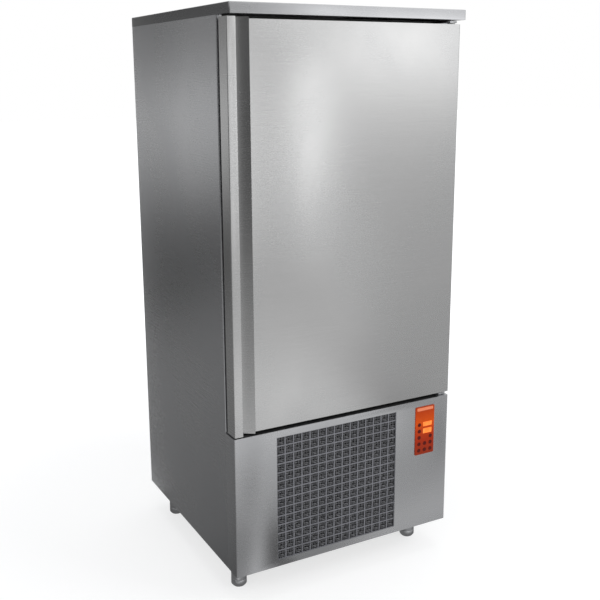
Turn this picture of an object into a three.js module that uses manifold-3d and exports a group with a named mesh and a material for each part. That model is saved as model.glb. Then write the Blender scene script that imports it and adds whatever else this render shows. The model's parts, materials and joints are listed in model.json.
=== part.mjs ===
// Upright blast chiller with one door, built as the sheet-metal assembly that it is.
// Millimetres, +Z up, +X to the right of someone facing the door, +Y to the back.
// The origin is on the floor, under the centre of the cabinet's outline.
import * as THREE from 'three';
import { mergeVertices } from 'three/addons/utils/BufferGeometryUtils.js';
import Module from 'manifold-3d';

const wasm = await Module();
wasm.setup();

// ---- driving dimensions -------------------------------------------------------------

const CLEAR = 0.3;                // gap between two pieces that touch
const SHEET = 1.5;                // stainless sheet
const BEND = 4;                   // outer radius of a folded edge

// outside of the cabinet
const WIDTH = 790;
const BODY_DEPTH = 780;           // door front to back panel
const TOP_OVERHANG = 25;          // the top panel stands proud of the door
const FOOT_HEIGHT = 107;
const LOWER_HEIGHT = 453;         // lower front panel
const LOWER_GAP = 13.5;           // between lower panel and door
const DOOR_HEIGHT = 1190;
const UPPER_GAP = 11.5;           // between door and top panel
const TOP_HEIGHT = 30;
const TOP_EDGE = 2;               // rounding of the top panel's edges
const DOOR_THICKNESS = 46.5;
const DOOR_STANDOFF = 17.5;       // door to cabinet, filled by the gasket
const SIDE_RETURN = 18;           // folded edges of the side panels

// insulated cell
const SIDE_WALL = 65;             // cabinet's side to the chamber
const BACK_WALL = 63;             // cabinet's back to the chamber
const MOUTH_SILL = 58;            // chamber floor above the door's lower edge
const MOUTH_HEAD = 57;            // chamber ceiling below the door's upper edge
const CHAMBER_CORNER = 20;
const CELL_LIFT = 3;              // foam body above the lower panel's top
const MOUTH_FRAME_THICKNESS = 3;

// door
const LIP_WIDTH = 28;             // handle lip, from the door's left side
const LIP_PROUD = 5;              // lip in front of the door face
const LIP_RISE = 5;               // handle above the door skin
const LIP_DROP = 7;               // handle below the door skin
const LIP_BEND = 2.5;
const CHANNEL_EDGE = 69.5;        // left edge of the door to the right edge of the channel
const CHANNEL_FLOOR_EDGE = 30;    // left edge of the door to the right end of the channel's floor
const CHANNEL_DEPTH = 24;         // channel floor behind the door's face
const HANDLE_WALL = 3;
const GASKET_WIDTH = 24;
const GASKET_REACH = 37;          // gasket's outer edge past the mouth's edge
const LINER_BOSS = 6;             // raised middle of the door's inner pan
const LINER_BOSS_INSET = 32;      // raised middle inside the mouth's edge

// hinges
const PIVOT_INSET = 18;           // pivot from the door's edge
const PIVOT_DEPTH = 23;           // pivot behind the door's face
const PIN_RADIUS = 5;
const PIN_LENGTH = 22;
const BRACKET_THICKNESS = 5;
const BRACKET_WIDTH = 40;
const BRACKET_LEG = 26;
const BRACKET_GAP = 2;            // bracket off the panel above or below the door
const BUSH_WALL = 5;
const BUSH_FLANGE = 12;
const BUSH_LENGTH = 24;
const BUSH_ROOM = 2;              // foam clear of the bush's end

// condenser grille and its cut-out in the lower panel
const GRILLE_LEFT = 141;          // from the cabinet's left side
const GRILLE_RIGHT = 210;         // from the cabinet's right side
const GRILLE_BOTTOM = 23;         // above the lower panel's bottom
const GRILLE_TOP = 22.5;          // below the lower panel's top
const GRILLE_COLUMNS = 15;
const GRILLE_ROWS = 14;
const GRILLE_BAR = 4;
const GRILLE_BORDER = 12;

// control panel
const CONTROL_RIGHT = 57;         // from the cabinet's right side
const CONTROL_WIDTH = 76;
const CONTROL_TOP = 23;           // upper edge below the lower panel's top
const CONTROL_HEIGHT = 169;
const CONTROL_CORNER = 4;
const OVERLAY_THICKNESS = 1.7;
const CONTROL_FRAME = 3;          // overlay past its cut-out
const HOUSING_DEPTH = 38;
const HOUSING_WALL = 4;
const HOUSING_FLOOR = 4.5;        // board behind the sheet's face
const DISPLAY_LEFT = 31;          // windows, from the overlay's left edge
const DISPLAY_WIDTH = 36;
const UPPER_WINDOW_UP = 106;      // middle of each window above the overlay's lower edge
const UPPER_WINDOW_HEIGHT = 15.5;
const LOWER_WINDOW_UP = 82;
const LOWER_WINDOW_HEIGHT = 18;
const LENS_MARGIN = 3;
const LENS_THICKNESS = 1.6;
const KEY_RADIUS = 6.5;
const KEY_PROUD = 0.8;
const KEY_TRAVEL = 0.8;
const KEY_FLANGE = 1.2;           // wider part behind the overlay
const KEY_FIRST_COLUMN = 16;      // from the overlay's left edge
const KEY_COLUMN_PITCH = 23;
const KEY_FIRST_ROW = 106;        // above the overlay's lower edge
const KEY_ROW_PITCH = 22.7;
// one entry for each column: the rows that hold a key, counted from the top
const KEY_ROWS = [[0, 1, 2, 3, 4], [3, 4], [2, 3, 4]];

// feet
const FOOT_SIDE_INSET = 64;
const FOOT_FRONT_INSET = 129;
const FOOT_BACK_INSET = 91;
const FOOT_RADIUS = 25.3;
const FOOT_PAD_HEIGHT = 26;
const FOOT_TIP_RADIUS = 19;
const FOOT_TAPER = 8;
const FOOT_THREAD_RADIUS = 12;
const FOOT_THREAD_LENGTH = 50;
const FOOT_THREAD_ROOM = 2;       // above the end of the thread
const FOOT_PLATE = 80;
const FOOT_PLATE_THICKNESS = 3;

// base
const BASE_THICKNESS = 2;
const BASE_FLANGE = 40;
const LOWER_FLANGE = 20;          // bottom fold of the lower panel
const LOWER_TOP_FLANGE = 54;

// condensing unit
const CONDENSER_PAST_GRILLE = 5.5; // fins past the grille at each side
const CONDENSER_IN_GRILLE = 3.75; // fins short of the grille at top and bottom
const CONDENSER_DEPTH = 60;
const CONDENSER_BEHIND = 24;      // behind the lower panel's face
const CONDENSER_FINS = 14;
const FIN_THICKNESS = 1.5;
const WEB_THICKNESS = 8;          // joins the fins along the middle of a coil
const TUBE_RADIUS = 5;
const CONDENSER_BENDS = 5;
const END_PLATE = 3;
const END_PLATE_MARGIN = 2;       // end plate past the fins
const RETURN_BEND_RADIUS = 12.5;
const SHROUD_THICKNESS = 1.5;
const CONDENSER_FAN_INSET = 25;   // blade tips inside the fins' edge
const FAN_TIP_CLEARANCE = 6;
const SHROUD_RING = 42;
const SHROUD_ARM = 16;
const SHROUD_ARM_THICKNESS = 3;
const SHROUD_DISC = 42;           // middle of the arms
const SHAFT_HOLE = 10;
const CONDENSER_HUB_RADIUS = 42;
const CONDENSER_HUB_LENGTH = 34;
const CONDENSER_MOTOR_RADIUS = 48;
const CONDENSER_MOTOR_LENGTH = 70;
const CONDENSER_SHAFT_RADIUS = 6;
const COMPRESSOR_RADIUS = 105;
const COMPRESSOR_HEIGHT = 290;
const COMPRESSOR_RIGHT = 180;     // axis from the cabinet's right side
const COMPRESSOR_BACK = 342.5;    // axis from the cabinet's back
const COMPRESSOR_FOOT = 12;
const COMPRESSOR_PLATE = 4;
const COMPRESSOR_RUBBER_RADIUS = 14;
const COMPRESSOR_RUBBER_INSET = 17;
const RECEIVER_RADIUS = 52;
const RECEIVER_HEIGHT = 230;
const RECEIVER_LEFT = 175;        // axis from the cabinet's left side
const RECEIVER_BACK = 342.5;
const RECEIVER_FOOT = 8;
const RECEIVER_SHOULDER = 26;     // height of the rounded part at each end
const SUCTION_RADIUS = 11;
const SUCTION_LAGGING = 1.5;      // room round the pipe where it goes through the cell
const SUCTION_INTO_COIL = 20;
const PORT_OFFSET = 26;           // pipe ports from the compressor's axis
const DISCHARGE_RADIUS = 7;

// evaporator
const FAN_COVER_DEPTH = 209;      // cover's face in front of the chamber's back
const FAN_COVER_SIDE_GAP = 60;    // cover to the chamber's wall
const FAN_COVER_END_GAP = 28;     // open slot above and below the cover
const FAN_COVER_FOOT = 20;
const EVAPORATOR_FANS = 3;
const EVAPORATOR_FAN_RADIUS = 118;
const EVAPORATOR_OPENING_RADIUS = 124;
const EVAPORATOR_SPIDER_ARM = 14;
const EVAPORATOR_MOTOR_RADIUS = 38;
const EVAPORATOR_MOTOR_LENGTH = 32;
const EVAPORATOR_MOTOR_SEAT = 2;  // middle of the arms past the motor
const EVAPORATOR_SHAFT_RADIUS = 5;
const EVAPORATOR_HUB_RADIUS = 34;
const EVAPORATOR_HUB_LENGTH = 34;
const EVAPORATOR_SIDE_GAP = 35;   // fins to the cover's side
const EVAPORATOR_DEPTH = 104;
const EVAPORATOR_FINS = 12;
const EVAPORATOR_END_MARGIN = 55;
const EVAPORATOR_BENDS = 6;
const ROTOR_TO_COIL = 6;

// fan blades: chords in parts of the tip's radius, angles in radians
const BLADES = 5;
const BLADE_THICKNESS = 3;
const EVAPORATOR_BLADE = { chordRoot: 0.42, chordTip: 0.66, pitchRoot: 0.55, pitchTip: 0.36, sweep: 0.25 };
const CONDENSER_BLADE = { chordRoot: 0.31, chordTip: 0.55, pitchRoot: 0.5, pitchTip: 0.3, sweep: 0.3 };

// tray racks, for trays of 600 by 400 mm that go in broad side first
const RACK_LEVELS = 11;
const RACK_PITCH = 90;
const RACK_START = 14;            // runners behind the cabinet's front edge
const RACK_TO_COVER = 30;         // runners in front of the fan cover
const RUNNER_REACH = 50;          // runner's inner edge from the chamber's wall
const RUNNER_THICKNESS = 3;
const POST_WIDTH = 20;
const POST_INSET = 40;

// back panel outlets
const OUTLET_COLUMNS = 2;
const OUTLET_ROWS = 7;
const OUTLET_WIDTH = 260;
const OUTLET_SLOT = 14;
const OUTLET_PITCH = 42;
const OUTLET_FIRST = 60;

// drain and cable inlet
const DRAIN_RADIUS = 13;
const DRAIN_WALL = 2;
const DRAIN_FLANGE = 26;
const DRAIN_X = 0;
const DRAIN_INSET = 154.5;        // axis in front of the chamber's back
const DRAIN_BELOW = 15;           // pipe's end below the cabinet's bottom
const GLAND_RADIUS = 11;
const GLAND_BORE = 5.5;
const GLAND_NUT_RADIUS = 15.4;
const GLAND_NUT_HEIGHT = 6;
const GLAND_DOME = 20;            // dome below the base pan
const GLAND_TIP_RADIUS = 8.8;
const GLAND_RIGHT = 175;          // axis from the cabinet's right side
const GLAND_BACK = 52.5;          // axis from the cabinet's back

// ---- positions worked out from the dimensions -----------------------------------------

const HALF = WIDTH / 2;
const DEPTH = BODY_DEPTH + TOP_OVERHANG;
const BACK = DEPTH / 2;
const TOP_FRONT = -DEPTH / 2;
const FRONT = TOP_FRONT + TOP_OVERHANG;              // face of door and lower panel
const DOOR_BACK = FRONT + DOOR_THICKNESS;
const BODY_FRONT = DOOR_BACK + DOOR_STANDOFF;

const LOWER_BOTTOM = FOOT_HEIGHT;
const LOWER_TOP = LOWER_BOTTOM + LOWER_HEIGHT;
const DOOR_BOTTOM = LOWER_TOP + LOWER_GAP;
const DOOR_TOP = DOOR_BOTTOM + DOOR_HEIGHT;
const TOP_BOTTOM = DOOR_TOP + UPPER_GAP;
const TOP = TOP_BOTTOM + TOP_HEIGHT;

const CELL_BOTTOM = LOWER_TOP + CELL_LIFT;
const CELL_TOP = TOP_BOTTOM - CLEAR;
const CHAMBER_FLOOR = DOOR_BOTTOM + MOUTH_SILL;
const CHAMBER_CEILING = DOOR_TOP - MOUTH_HEAD;
const CHAMBER_HALF = HALF - SIDE_WALL;
const CHAMBER_BACK = BACK - BACK_WALL;
const CHAMBER_MIDDLE = (CHAMBER_FLOOR + CHAMBER_CEILING) / 2;
const FRAME_BACK = BODY_FRONT + MOUTH_FRAME_THICKNESS;

const PIVOT_X = HALF - PIVOT_INSET;
const PIVOT_Y = FRONT + PIVOT_DEPTH;
const BASE_FLOOR = LOWER_BOTTOM + SHEET + CLEAR;     // underside of the base pan
const BASE_TOP = BASE_FLOOR + BASE_THICKNESS;

const CHANNEL_FLOOR = FRONT + CHANNEL_DEPTH;
const CHANNEL_RIGHT = -HALF + CHANNEL_EDGE;
const CHANNEL_CORNER = -HALF + CHANNEL_FLOOR_EDGE;
const SLOPE_RUN = CHANNEL_RIGHT - CHANNEL_CORNER;
const SLOPE_LENGTH = Math.hypot(SLOPE_RUN, CHANNEL_DEPTH);

const COVER_FACE = CHAMBER_BACK - FAN_COVER_DEPTH;
const COVER_BACK = COVER_FACE + SHEET;
const MOTOR_BACK = COVER_BACK + CLEAR + EVAPORATOR_MOTOR_LENGTH;
const ROTOR_FRONT = MOTOR_BACK + CLEAR;
const ROTOR_BACK = ROTOR_FRONT + EVAPORATOR_HUB_LENGTH;
const COVER_HALF = CHAMBER_HALF - FAN_COVER_SIDE_GAP;
const EVAPORATOR_HALF = COVER_HALF - EVAPORATOR_SIDE_GAP;

const CONTROL_X1 = HALF - CONTROL_RIGHT;
const CONTROL_X0 = CONTROL_X1 - CONTROL_WIDTH;
const CONTROL_Z1 = LOWER_TOP - CONTROL_TOP;
const CONTROL_Z0 = CONTROL_Z1 - CONTROL_HEIGHT;
const OVERLAY_BACK = FRONT - CLEAR;
const OVERLAY_FRONT = OVERLAY_BACK - OVERLAY_THICKNESS;
const DISPLAYS = [
  { up: UPPER_WINDOW_UP, height: UPPER_WINDOW_HEIGHT },
  { up: LOWER_WINDOW_UP, height: LOWER_WINDOW_HEIGHT },
];

const GRILLE_X0 = -HALF + GRILLE_LEFT;
const GRILLE_X1 = HALF - GRILLE_RIGHT;
const GRILLE_Z0 = LOWER_BOTTOM + GRILLE_BOTTOM;
const GRILLE_Z1 = LOWER_TOP - GRILLE_TOP;
const CONDENSER_LEFT = GRILLE_X0 - CONDENSER_PAST_GRILLE;
const CONDENSER_RIGHT = GRILLE_X1 + CONDENSER_PAST_GRILLE;
const CONDENSER_LOW = GRILLE_Z0 + CONDENSER_IN_GRILLE;
const CONDENSER_HIGH = GRILLE_Z1 - CONDENSER_IN_GRILLE;
const CONDENSER_FRONT = FRONT + CONDENSER_BEHIND;
const CONDENSER_SMALL_SIDE = Math.min(CONDENSER_RIGHT - CONDENSER_LEFT, CONDENSER_HIGH - CONDENSER_LOW);
const CONDENSER_FAN_RADIUS = CONDENSER_SMALL_SIDE / 2 - CONDENSER_FAN_INSET;
const COMPRESSOR_X = HALF - COMPRESSOR_RIGHT;
const COMPRESSOR_Y = BACK - COMPRESSOR_BACK;
const UNIT_FLOOR = BASE_TOP + CLEAR;                 // what stands on the base pan
const PORT_HEIGHT = UNIT_FLOOR + COMPRESSOR_FOOT + COMPRESSOR_HEIGHT + CLEAR;
const DRAIN_Y = CHAMBER_BACK - DRAIN_INSET;
const DRAIN_END = LOWER_BOTTOM - DRAIN_BELOW;
const GLAND_X = HALF - GLAND_RIGHT;
const GLAND_Y = BACK - GLAND_BACK;

const BUSH_RADIUS = PIN_RADIUS + CLEAR + BUSH_WALL;
const BOTTOM_BRACKET_TOP = LOWER_TOP + BRACKET_GAP + BRACKET_THICKNESS;
const TOP_BRACKET_BOTTOM = TOP_BOTTOM - BRACKET_GAP - BRACKET_THICKNESS;

const SUCTION_X = EVAPORATOR_HALF + END_PLATE + CLEAR + SUCTION_RADIUS;
const SUCTION_Y = ROTOR_BACK + ROTOR_TO_COIL + EVAPORATOR_DEPTH / 3;

const FOOT_PLACES = [
  ['front_left', -HALF + FOOT_SIDE_INSET, FRONT + FOOT_FRONT_INSET],
  ['front_right', HALF - FOOT_SIDE_INSET, FRONT + FOOT_FRONT_INSET],
  ['back_left', -HALF + FOOT_SIDE_INSET, BACK - FOOT_BACK_INSET],
  ['back_right', HALF - FOOT_SIDE_INSET, BACK - FOOT_BACK_INSET],
];

// ---- shape helpers --------------------------------------------------------------------

function bare(geometry) {
  const copy = geometry.index ? geometry.toNonIndexed() : geometry.clone();
  copy.deleteAttribute('normal');
  copy.deleteAttribute('uv');
  const merged = mergeVertices(copy, 1e-4);
  const faces = [];
  for (let i = 0; i < merged.index.count; i += 3) {
    const [a, b, c] = merged.index.array.slice(i, i + 3);
    if (a !== b && b !== c && c !== a) {
      faces.push(a, b, c);
    }
  }
  merged.setIndex(faces);
  return merged;
}

function toSolid(shape) {
  if (!(shape instanceof THREE.BufferGeometry)) {
    return shape;
  }
  const closed = bare(shape);
  return new wasm.Manifold(new wasm.Mesh({
    numProp: 3,
    vertProperties: new Float32Array(closed.attributes.position.array),
    triVerts: new Uint32Array(closed.index.array),
  }));
}

function toGeometry(solid) {
  const mesh = solid.getMesh();
  const geometry = new THREE.BufferGeometry();
  geometry.setAttribute('position', new THREE.BufferAttribute(mesh.vertProperties, 3));
  geometry.setIndex(new THREE.BufferAttribute(mesh.triVerts, 1));
  return geometry;
}

function join(...shapes) {
  return shapes.map(toSolid).reduce((whole, next) => whole.add(next));
}

function cut(shape, ...tools) {
  return tools.map(toSolid).reduce((rest, tool) => rest.subtract(tool), toSolid(shape));
}

/** A box between two corners. */
function block(x0, x1, y0, y1, z0, z1) {
  const geometry = new THREE.BoxGeometry(x1 - x0, y1 - y0, z1 - z0);
  return geometry.translate((x0 + x1) / 2, (y0 + y1) / 2, (z0 + z1) / 2);
}

/** A plan outline in X and Y, raised from one height to another. */
function raise(shape, z0, z1, curveSegments = 2) {
  const geometry = new THREE.ExtrudeGeometry(shape, { depth: z1 - z0, bevelEnabled: false, curveSegments });
  return geometry.translate(0, 0, z0);
}

/** A front outline in X and Z, carried from one depth to another. */
function deepen(shape, y0, y1, curveSegments = 3) {
  const geometry = new THREE.ExtrudeGeometry(shape, { depth: y1 - y0, bevelEnabled: false, curveSegments });
  return geometry.rotateX(Math.PI / 2).translate(0, y1, 0);
}

/** A body turned about a vertical axis. */
function turn(profile, segments, x = 0, y = 0) {
  const points = profile.map(([radius, height]) => new THREE.Vector2(radius, height));
  const geometry = new THREE.LatheGeometry(points, segments);
  return geometry.rotateX(Math.PI / 2).translate(x, y, 0);
}

/** A body turned about an axis that runs from front to back. */
function turnDeep(profile, segments, x, z) {
  const points = profile.map(([radius, depth]) => new THREE.Vector2(radius, depth));
  return new THREE.LatheGeometry(points, segments).translate(x, 0, z);
}

function rod(radius, z0, z1, x, y, segments = 16) {
  return turn([[0, z0], [radius, z0], [radius, z1], [0, z1]], segments, x, y);
}

function rodDeep(radius, y0, y1, x, z, segments = 16) {
  return turnDeep([[0, y0], [radius, y0], [radius, y1], [0, y1]], segments, x, z);
}

/** A rectangle with round corners. */
function roundedRect(left, right, low, high, radius, Kind = THREE.Shape) {
  const outline = new Kind();
  outline.moveTo(left + radius, low);
  outline.lineTo(right - radius, low);
  outline.absarc(right - radius, low + radius, radius, -Math.PI / 2, 0);
  outline.lineTo(right, high - radius);
  outline.absarc(right - radius, high - radius, radius, 0, Math.PI / 2);
  outline.lineTo(left + radius, high);
  outline.absarc(left + radius, high - radius, radius, Math.PI / 2, Math.PI);
  outline.lineTo(left, low + radius);
  outline.absarc(left + radius, low + radius, radius, Math.PI, Math.PI * 1.5);
  return outline;
}

function rectangle(left, right, low, high, Kind = THREE.Shape) {
  const outline = new Kind();
  outline.moveTo(left, low);
  outline.lineTo(right, low);
  outline.lineTo(right, high);
  outline.lineTo(left, high);
  outline.closePath();
  return outline;
}

function polygon(points) {
  return new THREE.Shape(points.map(([x, y]) => new THREE.Vector2(x, y)));
}

/** A round tube along a smooth line through the points. */
function pipe(points, radius, sides, steps) {
  const places = points.map((point) => new THREE.Vector3(...point));
  const route = new THREE.CatmullRomCurve3(places, false, 'catmullrom', 0.3);
  const section = new THREE.Shape();
  for (let i = 0; i < sides; i += 1) {
    const angle = (2 * Math.PI * i) / sides;
    const corner = [radius * Math.cos(angle), radius * Math.sin(angle)];
    if (i === 0) {
      section.moveTo(...corner);
    } else {
      section.lineTo(...corner);
    }
  }
  section.closePath();
  return new THREE.ExtrudeGeometry(section, { extrudePath: route, steps, bevelEnabled: false });
}

/** Side panels, seen from above: an outline that folds inwards at its front and back. */
function foldedSide(side) {
  const outer = HALF;
  const inner = HALF - SHEET;
  const bendInside = BEND - SHEET;
  const outline = new THREE.Shape();
  outline.moveTo(outer - SIDE_RETURN, BODY_FRONT);
  outline.lineTo(outer - BEND, BODY_FRONT);
  outline.absarc(outer - BEND, BODY_FRONT + BEND, BEND, -Math.PI / 2, 0);
  outline.lineTo(outer, BACK - BEND);
  outline.absarc(outer - BEND, BACK - BEND, BEND, 0, Math.PI / 2);
  outline.lineTo(outer - SIDE_RETURN, BACK);
  outline.lineTo(outer - SIDE_RETURN, BACK - SHEET);
  outline.lineTo(outer - BEND, BACK - SHEET);
  outline.absarc(outer - BEND, BACK - BEND, bendInside, Math.PI / 2, 0, true);
  outline.lineTo(inner, BODY_FRONT + BEND);
  outline.absarc(outer - BEND, BODY_FRONT + BEND, bendInside, 0, -Math.PI / 2, true);
  outline.lineTo(outer - SIDE_RETURN, BODY_FRONT + SHEET);
  outline.closePath();
  const geometry = raise(outline, LOWER_BOTTOM, TOP_BOTTOM - CLEAR);
  return side < 0 ? flipped(geometry) : geometry;
}

/** The mirror image across the middle of the cabinet, with its faces still outwards. */
function flipped(geometry) {
  const mirror = bare(geometry);
  mirror.scale(-1, 1, 1);
  const index = mirror.index.array;
  for (let i = 0; i < index.length; i += 3) {
    [index[i + 1], index[i + 2]] = [index[i + 2], index[i + 1]];
  }
  return mirror;
}

/** One fan blade, lofted through twisted sections from the hub to the tip. */
function blade({ hub, tip, chordRoot, chordTip, pitchRoot, pitchTip, sweep }) {
  const spans = 2;
  const section = [[-0.5, 0], [-0.1, 0.5], [0.3, 0.4], [0.5, 0], [0, -0.3]];
  const positions = [];
  const faces = [];
  for (let i = 0; i <= spans; i += 1) {
    const part = i / spans;
    const radius = hub + (tip - hub) * part;
    const chord = tip * (chordRoot + (chordTip - chordRoot) * part);
    const pitch = pitchRoot + (pitchTip - pitchRoot) * part;
    for (const [along, across] of section) {
      const u = along * chord;
      const v = across * BLADE_THICKNESS;
      const sideways = u * Math.cos(pitch) - v * Math.sin(pitch);
      const depth = u * Math.sin(pitch) + v * Math.cos(pitch);
      const angle = sweep * part * part + sideways / radius;
      positions.push(radius * Math.cos(angle), depth, radius * Math.sin(angle));
    }
  }
  const n = section.length;
  for (let i = 0; i < spans; i += 1) {
    for (let j = 0; j < n; j += 1) {
      const a = i * n + j;
      const b = i * n + ((j + 1) % n);
      faces.push(a, b, a + n, b, b + n, a + n);
    }
  }
  for (let j = 1; j < n - 1; j += 1) {
    faces.push(0, j + 1, j);
    faces.push(spans * n, spans * n + j, spans * n + j + 1);
  }
  const geometry = new THREE.BufferGeometry();
  geometry.setAttribute('position', new THREE.Float32BufferAttribute(positions, 3));
  geometry.setIndex(faces);
  return outward(geometry);
}

/** A closed mesh as a solid whose faces point outwards, whichever way it was wound. */
function outward(geometry) {
  const solid = toSolid(geometry);
  if (solid.volume() > 0) {
    return solid;
  }
  const index = geometry.index.array;
  for (let i = 0; i < index.length; i += 3) {
    [index[i + 1], index[i + 2]] = [index[i + 2], index[i + 1]];
  }
  return toSolid(geometry);
}

/** An axial rotor round the Y axis, with the bore for its shaft in the hub's front face. */
function rotor({ hub, length, bore, boreDepth, ...form }) {
  const front = -length / 2;
  const back = length / 2;
  const edge = hub / 10;
  const outline = [[0, front + boreDepth], [bore, front + boreDepth], [bore, front]];
  outline.push([hub, front], [hub, back - edge], [hub - edge, back], [0, back]);
  let body = toSolid(turnDeep(outline, 12, 0, 0));
  const root = hub * Math.cos(Math.PI / 8);
  for (let i = 0; i < BLADES; i += 1) {
    const one = toGeometry(blade({ hub: root, ...form }));
    body = body.add(toSolid(one.rotateY((2 * Math.PI * i) / BLADES)));
  }
  return toGeometry(body);
}

/** A round motor on the Y axis with a shaft at its back, its face at depth 0. */
function motor(radius, length, shaft, shaftLength) {
  const edge = radius / 12;
  const outline = [[0, 0], [radius - edge, 0], [radius, edge], [radius, length]];
  outline.push([shaft, length], [shaft, length + shaftLength], [0, length + shaftLength]);
  return turnDeep(outline, 14, 0, 0);
}

/** The comb-shaped plan of a finned block: fins across X, joined by a web along the middle. */
function finOutline(left, right, front, back, fins) {
  const middle = (front + back) / 2;
  const web = WEB_THICKNESS / 2;
  const pitch = (right - left) / (fins - 1);
  const points = [];
  for (let i = 0; i < fins; i += 1) {
    const x = left + pitch * i;
    points.push([x - FIN_THICKNESS / 2, middle - web], [x - FIN_THICKNESS / 2, front]);
    points.push([x + FIN_THICKNESS / 2, front], [x + FIN_THICKNESS / 2, middle - web]);
  }
  for (let i = fins - 1; i >= 0; i -= 1) {
    const x = left + pitch * i;
    points.push([x + FIN_THICKNESS / 2, middle + web], [x + FIN_THICKNESS / 2, back]);
    points.push([x - FIN_THICKNESS / 2, back], [x - FIN_THICKNESS / 2, middle + web]);
  }
  return polygon(points);
}

/** A finned coil with two end plates and return bends on one side (-1 left, 1 right). */
function finnedCoil({ left, right, front, back, low, high, fins, bends, bendSide, plateLow, plateBack }) {
  let body = toSolid(raise(finOutline(left, right, front, back, fins), low, high));
  for (const [x0, x1] of [[left - END_PLATE, left], [right, right + END_PLATE]]) {
    const top = high + END_PLATE_MARGIN;
    body = body.add(toSolid(block(x0, x1, front - END_PLATE_MARGIN, plateBack, plateLow, top)));
  }
  const pitch = (high - low) / bends;
  const root = bendSide < 0 ? left - END_PLATE + 1 : right + END_PLATE - 1;
  for (let i = 0; i < bends; i += 1) {
    const middle = low + pitch * (i + 0.5);
    const points = [];
    for (let k = 0; k <= 4; k += 1) {
      const angle = -Math.PI / 2 + (Math.PI * k) / 4;
      const out = bendSide * RETURN_BEND_RADIUS * Math.cos(angle);
      points.push([root + out, (front + back) / 2, middle + RETURN_BEND_RADIUS * Math.sin(angle)]);
    }
    body = body.add(outward(bare(pipe(points, TUBE_RADIUS, 6, 3))));
  }
  return toGeometry(body);
}

/** Four openings that leave a cross of arms round a disc, for a motor to be fixed to. */
function spiderOpenings(x, z, disc, radius, arm, segments) {
  const openings = [];
  for (let i = 0; i < 4; i += 1) {
    const start = (Math.PI / 2) * i;
    const end = start + Math.PI / 2;
    const outer = Math.asin(arm / 2 / radius);
    const inner = Math.asin(arm / 2 / disc);
    const opening = new THREE.Shape();
    for (let k = 0; k <= segments; k += 1) {
      const angle = start + outer + ((end - start - 2 * outer) * k) / segments;
      const corner = [x + radius * Math.cos(angle), z + radius * Math.sin(angle)];
      if (k === 0) {
        opening.moveTo(...corner);
      } else {
        opening.lineTo(...corner);
      }
    }
    for (let k = 3; k >= 0; k -= 1) {
      const angle = start + inner + ((end - start - 2 * inner) * k) / 3;
      opening.lineTo(x + disc * Math.cos(angle), z + disc * Math.sin(angle));
    }
    opening.closePath();
    openings.push(opening);
  }
  return openings;
}

// ---- looks ----------------------------------------------------------------------------

const LOOKS = {
  steel: { color: 0xb9bbbd, roughness: 0.34, metalness: 1 },
  innerSteel: { color: 0xc6c8ca, roughness: 0.4, metalness: 1 },
  galvanised: { color: 0x9a9d9f, roughness: 0.55, metalness: 0.9 },
  grille: { color: 0x5c5f66, roughness: 0.5, metalness: 0.7 },
  foam: { color: 0xd9c98e, roughness: 0.95, metalness: 0 },
  plastic: { color: 0xdedede, roughness: 0.5, metalness: 0 },
  blackPlastic: { color: 0x17181a, roughness: 0.55, metalness: 0 },
  blackRubber: { color: 0x111111, roughness: 0.8, metalness: 0 },
  blackPaint: { color: 0x1b1c1e, roughness: 0.5, metalness: 0.1 },
  aluminium: { color: 0xa9adb0, roughness: 0.45, metalness: 0.9 },
  copper: { color: 0xb4683c, roughness: 0.35, metalness: 1 },
  orange: { color: 0xbb3510, roughness: 0.35, metalness: 0 },
  display: { color: 0xff7a20, roughness: 0.2, metalness: 0 },
  key: { color: 0x4a0a06, roughness: 0.45, metalness: 0 },
};

function piece(name, shape, look, [x, y, z] = [0, 0, 0]) {
  const geometry = bare(shape instanceof THREE.BufferGeometry ? shape : toGeometry(shape));
  geometry.computeVertexNormals();
  const mesh = new THREE.Mesh(geometry, new THREE.MeshStandardMaterial(LOOKS[look]));
  mesh.name = name;
  mesh.position.set(x, y, z);
  return mesh;
}

// ---- cabinet skins --------------------------------------------------------------------

function cabinet() {
  const group = new THREE.Group();
  group.add(piece('side_panel_left', foldedSide(-1), 'steel'));
  group.add(piece('side_panel_right', foldedSide(1), 'steel'));
  group.add(piece('back_panel', backPanel(), 'steel'));
  group.add(piece('top_panel', topPanel(), 'steel'));
  group.add(piece('lower_front_panel', lowerFrontPanel(), 'steel'));
  group.add(piece('base_pan', basePan(), 'galvanised'));
  group.add(piece('cable_gland', cableGland(), 'blackPlastic'));
  return group;
}

function backPanel() {
  const half = HALF - SIDE_RETURN - CLEAR;
  const sheet = block(-half, half, BACK - SHEET, BACK, LOWER_BOTTOM, TOP_BOTTOM - CLEAR);
  const slots = [];
  const spacing = (2 * half) / OUTLET_COLUMNS;
  for (let column = 0; column < OUTLET_COLUMNS; column += 1) {
    const x = -half + spacing * (column + 0.5);
    for (let row = 0; row < OUTLET_ROWS; row += 1) {
      const z = LOWER_BOTTOM + OUTLET_FIRST + OUTLET_PITCH * row;
      const [left, right] = [x - OUTLET_WIDTH / 2, x + OUTLET_WIDTH / 2];
      slots.push(block(left, right, BACK - SHEET - 1, BACK + 1, z, z + OUTLET_SLOT));
    }
  }
  return cut(sheet, ...slots);
}

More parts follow.
